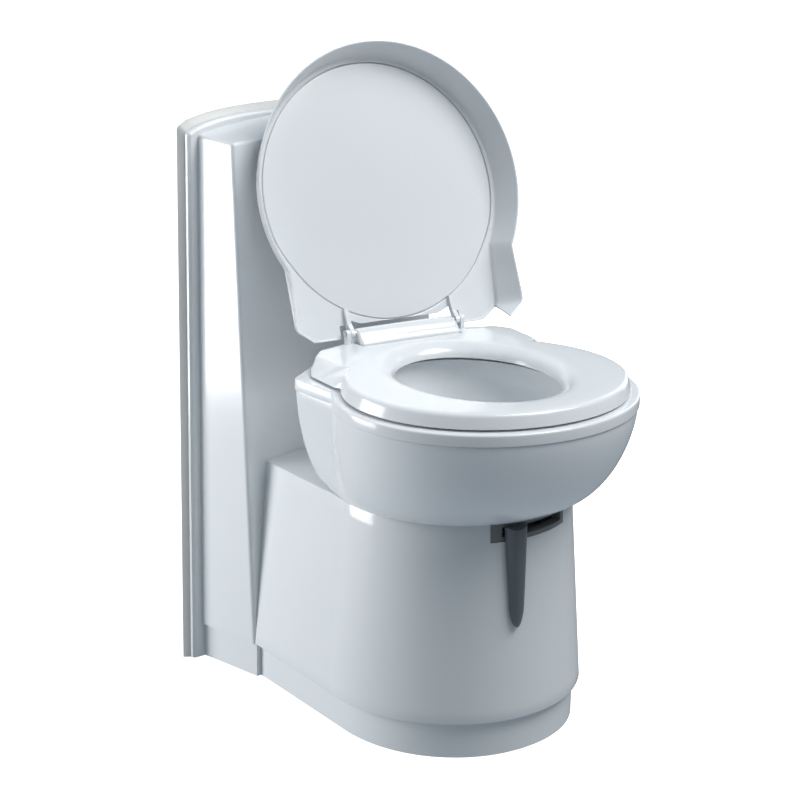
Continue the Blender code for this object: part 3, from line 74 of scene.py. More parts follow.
SEAT_REAR_LOW = [(0.1758, 0.0130), (0.1780, 0.0700), (0.1610, 0.1010), (0.0990, 0.1310)]
SEAT_REAR_TOP = [(0.1530, 0.0405), (0.1555, 0.0980), (0.1400, 0.1185), (0.0860, 0.1350)]
SEAT_HOLE, SEAT_LIP = (0.1250, 0.1500), (0.1030, 0.1240)
LID_R, LID_DEPTH, LID_CENTRE, LID_PIN_DEPTH, LID_SHELL = 0.2013, 0.0390, 0.1885, 0.0276, 0.0025
LID_BACK_R, LID_BACK, LID_FLOOR, DISC_SEAT = 0.1865, 0.0437, 0.0378, 0.0414
WING_CORNER, WING_FOOT, WING_JOIN = (0.1810, -0.1760), (0.1460, -0.2030), (0.1762, -0.0990)
# The part's solid is cut away wider and a little higher beside the hinge than EAR_ROOM_HALF says.
EAR_ROOM_HALF, PIN_ROOM_HALF, FOOT_ROOM_HALF = 0.0946, 0.0866, 0.1540
LEVER_ANGLE = math.radians(-11.0)


# ---------------------------------------------------------------- finishes
def finish(name, low, high, roughness, peel=0.12, metallic=0.0, coat=0.0, scale=6.0):
    """A moulded surface: slow drift in tone and gloss, and a fine skin texture in the bump."""
    made = bpy.data.materials.new(name)
    made.use_nodes = True
    nodes, links = made.node_tree.nodes, made.node_tree.links
    shader = nodes["Principled BSDF"]
    shader.inputs["Metallic"].default_value = metallic
    shader.inputs["Coat Weight"].default_value = coat
    shader.inputs["Coat Roughness"].default_value = 0.06
    place = nodes.new("ShaderNodeTexCoord")
    broad = nodes.new("ShaderNodeTexNoise")
    broad.inputs["Scale"].default_value = scale
    broad.inputs["Detail"].default_value = 3.0
    links.new(place.outputs["Object"], broad.inputs["Vector"])
    tone = nodes.new("ShaderNodeMix")
    tone.data_type = "RGBA"
    tone.inputs["A"].default_value = (*low, 1.0)
    tone.inputs["B"].default_value = (*high, 1.0)
    links.new(broad.outputs["Fac"], tone.inputs["Factor"])
    links.new(tone.outputs["Result"], shader.inputs["Base Color"])
    gloss = nodes.new("ShaderNodeMapRange")
    gloss.inputs["To Min"].default_value = roughness * 0.85
    gloss.inputs["To Max"].default_value = roughness * 1.2
    links.new(broad.outputs["Fac"], gloss.inputs["Value"])
    links.new(gloss.outputs["Result"], shader.inputs["Roughness"])
    fine = nodes.new("ShaderNodeTexNoise")
    fine.inputs["Scale"].default_value = 420.0
    fine.inputs["Detail"].default_value = 2.0
    links.new(place.outputs["Object"], fine.inputs["Vector"])
    skin_bump = nodes.new("ShaderNodeBump")
    skin_bump.inputs["Strength"].default_value = peel
    skin_bump.inputs["Distance"].default_value = 0.0002
    links.new(fine.outputs["Fac"], skin_bump.inputs["Height"])
    links.new(skin_bump.outputs["Normal"], shader.inputs["Normal"])
    return made


FINISHES = {
    "gloss_white": finish("gloss_white", (0.790, 0.815, 0.835), (0.830, 0.850, 0.865), 0.16, 0.05, 0.0, 0.25),
    # The wall panel's finish is the same white plastic made darker and warmer: painted shade and painted warm
    # light from the backdrop on its edge.
    "warm_white": finish("warm_white", (0.640, 0.640, 0.625), (0.680, 0.680, 0.665), 0.34, 0.12),
    "inner_white": finish("inner_white", (0.680, 0.700, 0.715), (0.730, 0.745, 0.760), 0.42, 0.18),
    "mid_grey": finish("mid_grey", (0.170, 0.182, 0.180), (0.200, 0.212, 0.210), 0.38, 0.20),
    "slate": finish("slate", (0.100, 0.122, 0.140), (0.125, 0.148, 0.168), 0.20, 0.08, 0.0, 0.40),
    "tank_grey": finish("tank_grey", (0.300, 0.325, 0.345), (0.360, 0.385, 0.405), 0.42, 0.25),
    "rubber": finish("rubber", (0.022, 0.022, 0.022), (0.035, 0.035, 0.035), 0.66, 0.35),
    "steel": finish("steel", (0.58, 0.59, 0.60), (0.66, 0.67, 0.68), 0.24, 0.10, 1.0),
}


# ---------------------------------------------------------------- shape helpers
def mix(a, b, t):
    return a + (b - a) * t


def soften(points, cuts, steps=5, loop=True):
    """Turn each corner of a 3-D line into a curve that starts cut metres before it."""
    made = []
    count = len(points)
    for i, point in enumerate(points):
        cut = cuts[i]
        if not cut or (not loop and i in (0, count - 1)):
            made.append(point.copy())
            continue
        before = points[i - 1] - point
        after = points[(i + 1) % count] - point
        a = point + before.normalized() * min(cut, before.length * 0.45)
        b = point + after.normalized() * min(cut, after.length * 0.45)
        for k in range(steps + 1):
            t = k / steps
            made.append(a * (1 - t) ** 2 + point * 2 * t * (1 - t) + b * t * t)
    return made


def soften_plan(points, cuts, steps=8):
    line = soften([Vector((x, y, 0.0)) for x, y in points], cuts, steps)
    return [(p.x, p.y) for p in line]


def reach(outline, angle, origin):
    """Where a ray from origin meets a plan outline; the angle is from straight ahead (-Y)."""
    dx, dy = math.sin(angle), -math.cos(angle)
    best = 0.0
    for (ax, ay), (bx, by) in zip(outline, outline[1:] + outline[:1]):
        ex, ey = bx - ax, by - ay
        cross = dx * ey - dy * ex
        if abs(cross) < 1e-12:
            continue
        along = ((ax - origin[0]) * ey - (ay - origin[1]) * ex) / cross
        across = ((ax - origin[0]) * dy - (ay - origin[1]) * dx) / cross
        if along > best and -1e-9 <= across <= 1.0 + 1e-9:
            best = along
    return (origin[0] + dx * best, origin[1] + dy * best)


def ellipse_at(half, length, centre, angle, origin):
    """Where a ray from origin meets an ellipse round (0, centre)."""
    dx, dy = math.sin(angle), -math.cos(angle)
    oy = origin[1] - centre
    a = (dx / half) ** 2 + (dy / length) ** 2
    b = 2.0 * oy * dy / length ** 2
    c = (oy / length) ** 2 - 1.0
    along = (-b + math.sqrt(b * b - 4.0 * a * c)) / (2.0 * a)
    return (origin[0] + dx * along, origin[1] + dy * along)


def toward(point, origin, by):
    """Move a plan point toward the origin by a distance."""
    x, y = point[0] - origin[0], point[1] - origin[1]
    share = 1.0 - by / math.hypot(x, y)
    return (origin[0] + x * share, origin[1] + y * share)


def skin(name, columns, around=True, loop=True, caps=False, ties=()):
    """Quads between neighbouring columns of points; ties split the end faces between two of their points."""
    bm = bmesh.new()
    grid = [[bm.verts.new(point) for point in column] for column in columns]
    pairs = list(zip(grid, grid[1:]))
    if around:
        pairs.append((grid[-1], grid[0]))
    for left, right in pairs:
        count = len(left)
        for i in range(count if loop else count - 1):
            j = (i + 1) % count
            bm.faces.new((left[i], right[i], right[j], left[j]))
    if caps:
        ends = (grid[0], grid[-1]) if not around else ([c[0] for c in grid], [c[-1] for c in grid])
        for end in ends:
            bm.faces.new(end)
            for i, j in ties:
                face = next(f for f in end[i].link_faces if f in end[j].link_faces)
                bmesh.utils.face_split(face, end[i], end[j])
    bmesh.ops.remove_doubles(bm, verts=bm.verts, dist=1e-6)
    bmesh.ops.recalc_face_normals(bm, faces=bm.faces)
    mesh = bpy.data.meshes.new(name)
    bm.to_mesh(mesh)
    bm.free()
    return mesh


def solid(name, mesh):
    made = bpy.data.objects.new(name, mesh)
    bpy.context.scene.collection.objects.link(made)
    return made


def slab(name, low, high):
    bm = bmesh.new()
    size = [b - a for a, b in zip(low, high)]
    middle = [(a + b) / 2.0 for a, b in zip(low, high)]
    bmesh.ops.create_cube(bm, size=1.0, matrix=Matrix.LocRotScale(middle, None, size))
    mesh = bpy.data.meshes.new(name)
    bm.to_mesh(mesh)
    bm.free()
    return solid(name, mesh)


def soft_slab(name, low, high, cut, axis=1):
    """A box whose four edges along one axis are rounded."""
    i, j = [k for k in range(3) if k != axis]
    corners = [(low[i], low[j]), (high[i], low[j]), (high[i], high[j]), (low[i], high[j])]
    plan = soften([Vector((a, b, 0.0)) for a, b in corners], [cut] * 4, 6)
    rings = []
    for level in (low[axis], high[axis]):
        ring = []
        for p in plan:
            spot = [0.0, 0.0, 0.0]
            spot[i], spot[j], spot[axis] = p.x, p.y, level
            ring.append(Vector(spot))
        rings.append(ring)
    return solid(name, skin(name, rings, around=False, caps=True))


def rod(name, start, end, radius, facets=64):
    bm = bmesh.new()
    start = Vector(start)
    along = Vector(end) - start
    turn = along.to_track_quat("Z", "Y").to_matrix().to_4x4()
    bmesh.ops.create_cone(bm, cap_ends=True, segments=facets, radius1=radius, radius2=radius,
                          depth=along.length, matrix=Matrix.Translation(start + along / 2.0) @ turn)
    mesh = bpy.data.meshes.new(name)
    bm.to_mesh(mesh)
    bm.free()
    return solid(name, mesh)


def arc(radius, start, end, steps, centre=(0.0, 0.0)):
    turns = [mix(start, end, i / steps) for i in range(steps + 1)]
    return [(centre[0] + radius * math.sin(t), centre[1] - radius * math.cos(t)) for t in turns]


def arc_block(name, inner, outer, low, high, start, end, steps=48, cut=0.0):
    """Part of a ring, with its upright corners rounded by cut."""
    columns = []
    for i in range(steps + 1):
        t = mix(start, end, i / steps)
        out = Vector((math.sin(t), -math.cos(t), 0.0))
        section = [out * outer + Vector((0, 0, low)), out * outer + Vector((0, 0, high)),
                   out * inner + Vector((0, 0, high)), out * inner + Vector((0, 0, low))]
        columns.append(soften(section, [cut] * 4, 4) if cut else section)
    return solid(name, skin(name, columns, around=False, caps=True))


def change(made, others, operation="DIFFERENCE", solver="EXACT"):
    """Cut or join other solids, which are used up."""
    for other in others:
        step = made.modifiers.new(operation.lower(), "BOOLEAN")
        step.operation = operation
        step.solver = solver
        step.object = other
    bpy.context.view_layer.update()
    mesh = bpy.data.meshes.new_from_object(made.evaluated_get(bpy.context.evaluated_depsgraph_get()))
    made.modifiers.clear()
    made.data = mesh
    for other in others:
        bpy.data.objects.remove(other, do_unlink=True)
    return made


def place(made, body, slot, *nodes, turn=None, sharp=38.0):
    """Finish a piece: smooth shading with hard creases, its finish, its body and the nodes it stands for."""
    if turn is not None:
        made.data.transform(Matrix.Rotation(turn, 4, "Z"))
    made.data.materials.clear()
    made.data.materials.append(FINISHES[slot])
    made.data.polygons.foreach_set("material_index", [0] * len(made.data.polygons))
    made.data.shade_smooth()
    made.data.set_sharp_from_angle(angle=math.radians(sharp))
    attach(made, body)
    if nodes:
        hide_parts(*nodes)
    return made


# ---------------------------------------------------------------- wall panel and backrest
def panel_outline(inset, corner, steps=60):
    """Arched panel seen from the front, as (x, z) points."""
    half = PANEL_HALF - inset
    side_top = PANEL_SIDE_TOP - inset
    rise = PANEL_TOP - PANEL_SIDE_TOP
    points = [(-half, 0.0), (half, 0.0)]
    for i in range(9):
        t = math.radians(mix(0.0, 78.0, i / 8))
        points.append((half - corner + corner * math.cos(t), side_top - corner + corner * math.sin(t)))
    for i in range(1, steps):
        x = mix(half - corner, corner - half, i / steps)
        points.append((x, side_top + rise * (1.0 - (x / half) ** 4)))
    for i in range(9):
        t = math.radians(mix(102.0, 180.0, i / 8))
        points.append((corner - half + corner * math.cos(t), side_top - corner + corner * math.sin(t)))
    return points


def stacked(name, levels):
    """A plate from panel outlines at several depths."""
    rings = [[Vector((x, y, z)) for x, z in panel_outline(inset, corner)] for inset, corner, y in levels]
    return solid(name, skin(name, rings, around=False, caps=True))


def make_wall_panel():
    face = PANEL_BACK - PANEL_THICK
    levels = [
        (0.0004, 0.0080, PANEL_BACK), (0.0, 0.0082, PANEL_BACK - 0.0006),
        (0.0003, 0.0082, PANEL_BACK - 0.0012), (PANEL_CHAMFER - 0.0008, 0.0070, face + 0.0009),
        (PANEL_CHAMFER + 0.0002, 0.0062, face + 0.0002), (PANEL_CHAMFER + 0.0012, 0.0060, face),
    ]
    panel = stacked("wall_panel_moulding", levels)
    before, behind = face - 0.01, PANEL_BACK + 0.01
    cuts = [soft_slab("bay", (-BAY_HALF, before, BAY_SILL), (BAY_HALF, behind, BAY_TOP), 0.006),
            rod("filler", (FILLER_X, before, FILLER_Z), (FILLER_X, behind, FILLER_Z), FILLER_HOLE_R)]
    change(panel, cuts)
    guide = soft_slab("guide", (0.0860, 0.3165, 0.2400), (0.1140, face + 0.0010, 0.2600), 0.0025, 2)
    change(panel, [guide], "UNION")
    change(panel, [slab("latch_way", (0.0917, 0.3197, 0.2300), (0.1083, 0.3243, 0.2700))])
    # The wall panel's darker, warmer tone is painted shade and painted warm backdrop light on the white
    # plastic.
    place(panel, "base", "warm_white", "rear_wall_panel")


def bump_front(z):
    return mix(BUMP_FRONT_LOW, BUMP_FRONT_TOP, (z - PED_FOOT) / (BUMP_EDGE_TOP - PED_FOOT))


def hollow_front(x, z):
    """The front face where the raised lid turns past it."""
    front = bump_front(z)
    if abs(x) >= HOLLOW_RADIUS or z <= HOLLOW_FOOT:
        return front
    fade = min(1.0, (z - HOLLOW_FOOT) / (HOLLOW_FULL - HOLLOW_FOOT))
    fade = fade * fade * (3.0 - 2.0 * fade)
    return front + max(0.0, math.sqrt(HOLLOW_RADIUS ** 2 - x * x) - front) * fade


def bump_columns(inset, back, edge, stations=72):
    """Upright (y, z) sections of the backrest with rounded front, side and top edges."""
    places = [edge * (1.0 - math.cos(math.radians(a))) for a in range(0, 91, 15)]
    spots = [(-1.0, p) for p in places]
    spots += [(mix(-1.0, 1.0, i / stations), None) for i in range(3, stations - 2)]
    spots += [(1.0, p) for p in reversed(places)]
    columns = []
    for u, near in spots:
        fall = 0.0
        if near is not None:
            fall = edge - math.sqrt(max(0.0, edge ** 2 - (edge - near) ** 2))
        crown = 1.0 - u * u
        shift = -u * (near or 0.0)
        low_x = u * (BUMP_HALF_LOW - inset) + shift
        top_x = u * (BUMP_HALF_TOP - inset) + shift
        back_x = u * (BUMP_BACK_HALF - inset) + shift
        edge_z = BUMP_EDGE_TOP + 0.0040 * crown - inset - fall
        back_z = mix(BUMP_BACK_SIDE_TOP, BUMP_BACK_MID_TOP, crown) - inset - fall
        foot = PED_FOOT + inset
        section = [Vector((back_x, back, foot)), Vector((low_x, bump_front(foot) + inset + fall, foot))]
        for k in range(1, 25):
            z = mix(foot, edge_z, k / 24)
            x = mix(low_x, top_x, (z - PED_FOOT) / (BUMP_EDGE_TOP - PED_FOOT))
            section.append(Vector((x, hollow_front(x, z) + inset + fall, z)))
        front = section[-1]
        ledge_y = mix(front.y, back, 0.52)
        section.append(Vector((mix(front.x, back_x, 0.52), ledge_y, mix(edge_z, back_z, 0.62))))
        section.append(Vector((back_x, back, back_z)))
        cuts = [0.0] * len(section)
        cuts[-3] = 0.0050
        cuts[-2] = 0.0090
        section = soften(section, cuts, 6, loop=False)
        section += [Vector((back_x, back, mix(back_z, foot, k / 24))) for k in range(1, 24)]
        columns.append(section)
    return columns


def make_backrest():
    levels = [(0.0088, 0.0062, FLANGE_BACK), (0.0088, 0.0062, FLANGE_BACK - 0.0024),
              (0.0094, 0.0058, FLANGE_BACK - 0.0042), (0.0122, 0.0046, FLANGE_FACE + 0.0010),
              (0.0132, 0.0040, FLANGE_FACE + 0.0002), (0.0146, 0.0036, FLANGE_FACE)]
    housing = stacked("backrest_moulding", levels)
    ties = [(k, 64 - k) for k in range(2, 25)]
    columns = bump_columns(0.0, FLANGE_BACK - 0.001, 0.0055)
    bump = solid("bump", skin("bump", columns, around=False, caps=True, ties=ties))
    change(housing, [bump], "UNION", "FAST")
    columns = bump_columns(WALL, FLANGE_BACK + 0.010, 0.0020)
    hollow = solid("hollow", skin("hollow", columns, around=False, caps=True, ties=ties))
    change(housing, [hollow], solver="FAST")
    cuts = [slab("front_bay", (-FRONT_BAY_HALF, 0.20, -0.01), (FRONT_BAY_HALF, 0.31, FRONT_BAY_TOP)),
            slab("flange_bay", (-BAY_HALF, 0.30, -0.01), (BAY_HALF, FLANGE_BACK + 0.01, BAY_TOP)),
            rod("hose_hole", (HOSE_X, 0.20, HOSE_Z), (HOSE_X, 0.26, HOSE_Z), HOSE_HOLE_R, 24)]
    change(housing, cuts, solver="FAST")
    change(housing, [slab("foot_bar", (-0.150, FLANGE_FACE, 0.0), (0.150, FLANGE_BACK, 0.004))], "UNION")
    change(housing, [slab("plinth_room", (-0.1765, 0.20, -0.01), (0.1765, FLANGE_FACE, PED_FOOT))])
    place(housing, "base", "gloss_white", "backrest_housing", sharp=32.0)


# ---------------------------------------------------------------- pedestal, plinth and bezel
def pedestal_outline(up, inset=0.0, rear_y=None):
    """Plan outline at a share of the height: round front, flat sides, straight rear."""
    z = mix(PED_FOOT, PED_TOP, up)
    radius = mix(PED_R_FOOT, PED_R_TOP, up) - inset
    rear_x = mix(PED_REAR_FOOT[0], PED_REAR_TOP[0], up) - inset
    back = bump_front(z) - 0.0003 if rear_y is None else rear_y
    front = arc(radius, -PED_CREASE, PED_CREASE, 120)
    left = [(mix(-rear_x, front[0][0], i / 14), mix(back, front[0][1], i / 14)) for i in range(14)]
    right = [(-x, y) for x, y in reversed(left)]
    rear = [(mix(rear_x, -rear_x, i / 30), back) for i in range(1, 30)]
    return left + front + right + rear


def deck_height(x, y):
    back = max(0.0, (y - 0.060) / (PED_REAR_TOP[1] - 0.060))
    return PED_TOP - PED_REAR_DROP * back * (x / PED_REAR_TOP[0]) ** 2


def pedestal_inside(z, inset):
    """Plan outline of the hollow, from the rear wall round the front, for a wall of inset."""
    up = (z - PED_FOOT) / (PED_TOP - PED_FOOT)
    behind = 0.2700
    rear_x = mix(PED_REAR_FOOT[0], PED_REAR_TOP[0], up)
    back = bump_front(z) - 0.0003
    front = arc(mix(PED_R_FOOT, PED_R_TOP, up) - inset, -PED_CREASE, PED_CREASE, 60)
    full = arc(mix(PED_R_FOOT, PED_R_TOP, up), -PED_CREASE, PED_CREASE, 60)
    run = (behind - full[0][1]) / (back - full[0][1])
    far_x = mix(-full[0][0], rear_x, run)
    return [(-far_x + inset, behind)] + front + [(far_x - inset, behind)]


def crease_at(mesh, angle):
    """Keep the upright line where the round front meets the flat side crisp on the outer wall."""
    spots = [v.co for v in mesh.vertices]
    for edge in mesh.edges:
        ends = [spots[i] for i in edge.vertices]
        upright = abs(ends[0].z - ends[1].z) > 0.0001
        turned = all(abs(abs(math.atan2(p.x, -p.y)) - angle) < 0.0008 for p in ends)
        outer = all(p.xy.length > CREASE_BEYOND for p in ends)
        if upright and turned and outer:
            edge.use_edge_sharp = True


def make_pedestal():
    rings = []
    tall = PED_TOP - PED_FOOT
    for z, inset in ((PED_FOOT, 0.0022), (PED_FOOT + 0.0006, 0.0008), (PED_FOOT + 0.0022, 0.0)):
        rings.append([Vector((x, y, z)) for x, y in pedestal_outline((z - PED_FOOT) / tall, inset)])
    for k in range(1, 17):
        up = mix(0.0, 1.0 - PED_EDGE / tall, k / 16)
        rows = []
        for x, y in pedestal_outline(up):
            drop = (PED_TOP - deck_height(x, y)) * up
            rows.append(Vector((x, y, mix(PED_FOOT, PED_TOP, up) - drop)))
        rings.append(rows)
    rear = bump_front(PED_TOP - PED_REAR_DROP) - 0.0003
    for k in range(1, 7):
        turn = math.radians(15.0 * k)
        plan = pedestal_outline(1.0, PED_EDGE * (1.0 - math.cos(turn)), rear)
        fall = PED_EDGE * (1.0 - math.sin(turn))
        rings.append([Vector((x, y, deck_height(x, y) - fall)) for x, y in plan])
    last = pedestal_outline(1.0, PED_EDGE, rear)
    for k in range(1, 9):
        ring = []
        for x, y in last:
            size = math.hypot(x, y)
            share = mix(1.0, 0.1000 / size, k / 8)
            ring.append(Vector((x * share, y * share, deck_height(x * share, y * share))))
        rings.append(ring)
    shell = solid("pedestal_moulding", skin("pedestal_moulding", rings, around=False, caps=True))
    under = PED_TOP - PED_REAR_DROP - 0.0040
    lip = PED_FOOT + WALL
    mouth = pedestal_inside(PED_FOOT, 0.0126)
    inside = [[Vector((x, y, z)) for x, y in pedestal_inside(z, WALL)] for z in (lip, under)]
    throat = [[Vector((x, y, z)) for x, y in mouth] for z in (0.0, lip + 0.001)]
    cuts = [solid("inside", skin("inside", inside, around=False, caps=True)),
            solid("throat", skin("throat", throat, around=False, caps=True)),
            rod("deck_hole", (0, 0, 0.25), (0, 0, 0.35), DECK_HOLE_R, 96),
            rod("keeper_room", (0, 0, 0.25), (0, 0, PED_TOP - 0.0040), KEEPER_R, 96)]
    change(shell, cuts)
    span = math.radians(23.0)
    change(shell, [arc_block("notch", 0.1500, 0.1800, 0.2952, 0.33, -span, span)])
    place(shell, "base", "gloss_white", "pedestal_shell", sharp=32.0)
    crease_at(shell.data, PED_CREASE)


def plinth_path(inset=0.0, steps=112):
    """The toe recess from the left rear end round its oval front to the right rear end."""
    step_y = 0.2242 + inset
    left = [(-(0.1759 - inset), 0.3296), (-(0.1598 - inset), step_y), (-(0.1525 - inset), step_y)]
    front = []
    for i in range(steps + 1):
        angle = mix(-PLINTH_CREASE, PLINTH_CREASE, i / steps)
        across = abs(math.sin(angle)) / (PLINTH_HALF - inset)
        ahead = abs(math.cos(angle)) / (PLINTH_R - inset)
        radius = (across ** PLINTH_ROUND + ahead ** PLINTH_ROUND) ** (-1.0 / PLINTH_ROUND)
        front.append((radius * math.sin(angle), -radius * math.cos(angle)))
    return left + front + [(-x, y) for x, y in reversed(left)]


def make_plinth():
    rings = []
    for z, by in ((0.0, 0.0008), (0.0008, 0.0), (PLINTH_TOP - 0.0005, 0.0), (PLINTH_TOP, 0.0005)):
        plan = plinth_path(by) + list(reversed(plinth_path(WALL)))
        rings.append([Vector((x, y, z)) for x, y in plan])
    made = solid("plinth_moulding", skin("plinth_moulding", rings, around=False, caps=True))
    place(made, "base", "gloss_white", "plinth")
    crease_at(made.data, PLINTH_CREASE)


def make_bezel():
    """The grey frame let into the pedestal's top edge, with the slot that the lever sweeps."""
    bezel = arc_block("lever_bezel", 0.1503, 0.1638, BEZEL_LOW, BEZEL_HIGH, -BEZEL_SPAN, BEZEL_SPAN,
                      steps=72, cut=0.0012)
    left, right = math.radians(-17.5), math.radians(20.0)
    change(bezel, [arc_block("slot", 0.1400, 0.1800, 0.3016, 0.3150, left, right, 60)])
    place(bezel, "base", "mid_grey", "slot_bezel")


def make_lever():
    """A tapered tongue with a soft ridge down its left third and a flatter facet beside it."""
    rows, across = 64, 36
    front, back = [], []
    for i in range(rows + 1):
        t = i / rows
        t = t if t < 0.9 else 0.9 + 0.1 * math.sin((t - 0.9) / 0.1 * math.pi / 2.0)
        z = mix(LEVER_TOP, LEVER_TIP, t)
        wall = mix(PED_R_FOOT, PED_R_TOP, (z - PED_FOOT) / (PED_TOP - PED_FOOT)) + 0.0034
        narrow = math.sqrt(max(0.0, 1.0 - max(0.0, (t - 0.74) / 0.26) ** 2))
        half = max(0.0008, mix(LEVER_HALF, LEVER_TIP_HALF, min(1.0, t / 0.74)) * narrow)
        depth = max(0.0012, mix(0.0150, 0.0082, t) * mix(1.0, narrow, 0.75))
        flat = max(0.0, 1.0 - t / 0.62)
        ahead, behind = [], []
        for k in range(across + 1):
            u = -math.cos(math.pi * k / across)
            round_face = math.sqrt(max(0.0, 1.0 - u * u))
            if u < -0.30:
                ridge = math.sqrt(max(0.0, 1.0 - ((u + 0.30) / 0.70) ** 2))
            else:
                v = (u + 0.30) / 1.30
                ridge = max(0.0, 1.0 - 0.55 * v - 0.45 * v ** 6)
                ridge = mix(ridge, math.sqrt(max(0.0, 1.0 - v * v)), 0.25)
            face = mix(round_face, ridge, 0.25 + 0.75 * flat)
            dip = 0.0026 * (1.0 - u * u) * max(0.0, 1.0 - t * 14.0)
            ahead.append(Vector((half * u, -wall - depth * face, z - dip)))
            behind.append(Vector((half * u, -wall, z - dip)))
        front.append(ahead)
        back.append(behind)
    columns = [row + list(reversed(rear)) for row, rear in zip(front, back)]
    lever = solid("lever_tongue", skin("lever_tongue", columns, around=False, caps=True))
    lever.data.transform(Matrix.Rotation(LEVER_ANGLE, 4, "Z"))
    place(lever, "lever", "slate", "blade_lever", sharp=50.0)


# ---------------------------------------------------------------- bowl
def rim_outline():
    """Plan outline of the rim: an ellipse in front, three corners a side behind."""
    front = []
    for i in range(181):
        t = math.radians(mix(-120.0, 120.0, i / 180))
        x, y = RIM_HALF * math.sin(t), RIM_CENTRE - RIM_REACH * math.cos(t)
        if y < 0.0060:
            front.append((x, y))
    cuts = [0.0] * len(front) + [0.0055, 0.0060, 0.0090, 0.0090, 0.0060, 0.0055]
    return soften_plan(front + list(RIM_REAR) + [(-x, y) for x, y in reversed(RIM_REAR)], cuts, 10)


def dense_angles(marks, even=220, spread=0.055, extra=9):
    """Angles all round, closer together near the corners given as plan points."""
    angles = [mix(-math.pi, math.pi, i / even) for i in range(even)]
    for x, y in marks:
        middle = math.atan2(x, -y)
        for side in (-1, 1):
            angles += [side * (middle + mix(-spread, spread, k / (extra - 1))) for k in range(extra)]
    angles = sorted(math.atan2(math.sin(a), math.cos(a)) for a in angles)
    kept = [angles[0]]
    for a in angles[1:]:
        if a - kept[-1] > 0.004:
            kept.append(a)
    return kept


def make_bowl():
    """Outer shell of the bowl: it swells from its round foot to the rim's outline."""
    outline = rim_outline()
    top = RIM_LOW - 0.0003
    shell, rim = [], []
    for angle in dense_angles(RIM_REAR):
        far = toward(reach(outline, angle, (0.0, 0.0)), (0.0, 0.0), 0.0020)
        size = math.hypot(*far)
        out = Vector((math.sin(angle), -math.cos(angle), 0.0))
        wall = []
        for k in range(33):
            t = (k / 32) ** 1.6
            wall.append((mix(BOWL_R_FOOT, size, (1.0 - (1.0 - t) ** 1.6) ** 0.55), mix(BOWL_FOOT, top, t)))
        line = [(COLLAR_R, BOWL_FOOT), (BOWL_R_FOOT - 0.0120, BOWL_FOOT),
                (BOWL_R_FOOT - 0.0100, BOWL_FOOT + 0.0007), (BOWL_R_FOOT - 0.0006, BOWL_FOOT + 0.0008)]
        line += [(r, z) for r, z in wall[2:-1]]
        line += [(wall[-1][0] - 0.0002, top - 0.0008), (wall[-1][0] - 0.0012, top)]
        line += [(r - 0.0040, z) for r, z in reversed(wall[2:])]
        bore = COLLAR_R - 0.0040
        line += [(bore, BOWL_FOOT + WALL), (bore, COLLAR_FOOT), (COLLAR_R, COLLAR_FOOT)]
        shell.append([out * r + Vector((0, 0, z)) for r, z in line])
        edge = Vector((*reach(outline, angle, (0.0, 0.0)), 0.0))
        inner = Vector((*toward(edge[:2], (0.0, 0.0), 0.0040), 0.0))
        hole = Vector((*ellipse_at(*RIM_BORE, BORE_CENTRE, angle, (0.0, 0.0)), 0.0))
        up = Vector((0, 0, 1))
        section = [edge + up * RIM_LOW, edge + up * RIM_TOP, hole + up * RIM_TOP,
                   hole + up * (RIM_TOP - 0.0040), inner + up * (RIM_TOP - 0.0040), inner + up * RIM_LOW]
        rim.append(soften(section, [0.0014, 0.0034, 0.0016, 0.0, 0.0, 0.0], 6))
    made = solid("bowl_moulding", skin("bowl_moulding", shell))
    place(made, "bowl", "gloss_white", "bowl_shell", turn=BOWL_TURN, sharp=45.0)
    made = solid("rim_moulding", skin("rim_moulding", rim))
    place(made, "bowl", "gloss_white", "bowl_rim", turn=BOWL_TURN, sharp=45.0)


def make_liner():
    """The inner bowl: each level is a height, two half axes and a centre; it ends in the round outlet."""
    levels = [
        (LINER_TOP, 0.1190, 0.1400, BORE_CENTRE), (0.4600, 0.1180, 0.1390, -0.0568),
        (0.4400, 0.1160, 0.1370, -0.0560), (0.4200, 0.1100, 0.1305, -0.0545),
        (0.4050, 0.1030, 0.1230, -0.0520), (0.3870, 0.0925, 0.1110, -0.0455),
        (0.3700, 0.0800, 0.0960, -0.0370), (0.3560, 0.0675, 0.0790, -0.0240),
        (0.3450, 0.0560, 0.0620, -0.0130), (0.3360, 0.0470, 0.0495, -0.0045),
        (0.3300, 0.0418, 0.0418, 0.0), (0.3200, 0.0415, 0.0415, 0.0), (LINER_FOOT, 0.0415, 0.0415, 0.0),
    ]
    wall = 0.003
    columns = []
    for i in range(160):
        angle = mix(-math.pi, math.pi, i / 160)

        def at(half, length, centre, z):
            return Vector((*ellipse_at(half, length, centre, angle, (0, 0)), z))

        inside = [at(a, b, c, z) for z, a, b, c in levels]
        inside = soften(inside, [0.0] + [0.006] * 11 + [0.0], 3, loop=False)
        outside = [at(a + wall, b + wall, c, z - 0.0018) for z, a, b, c in levels[1:-1]]
        line = [at(*LINER_EDGE, BORE_CENTRE, LINER_TOP)] + inside + [at(0.0445, 0.0445, 0.0, LINER_FOOT)]
        columns.append(line + list(reversed(outside)) + [at(*LINER_EDGE, BORE_CENTRE, LINER_TOP - WALL)])
    made = solid("liner_moulding", skin("liner_moulding", columns))
    place(made, "bowl", "gloss_white", "bowl_liner", turn=BOWL_TURN, sharp=50.0)


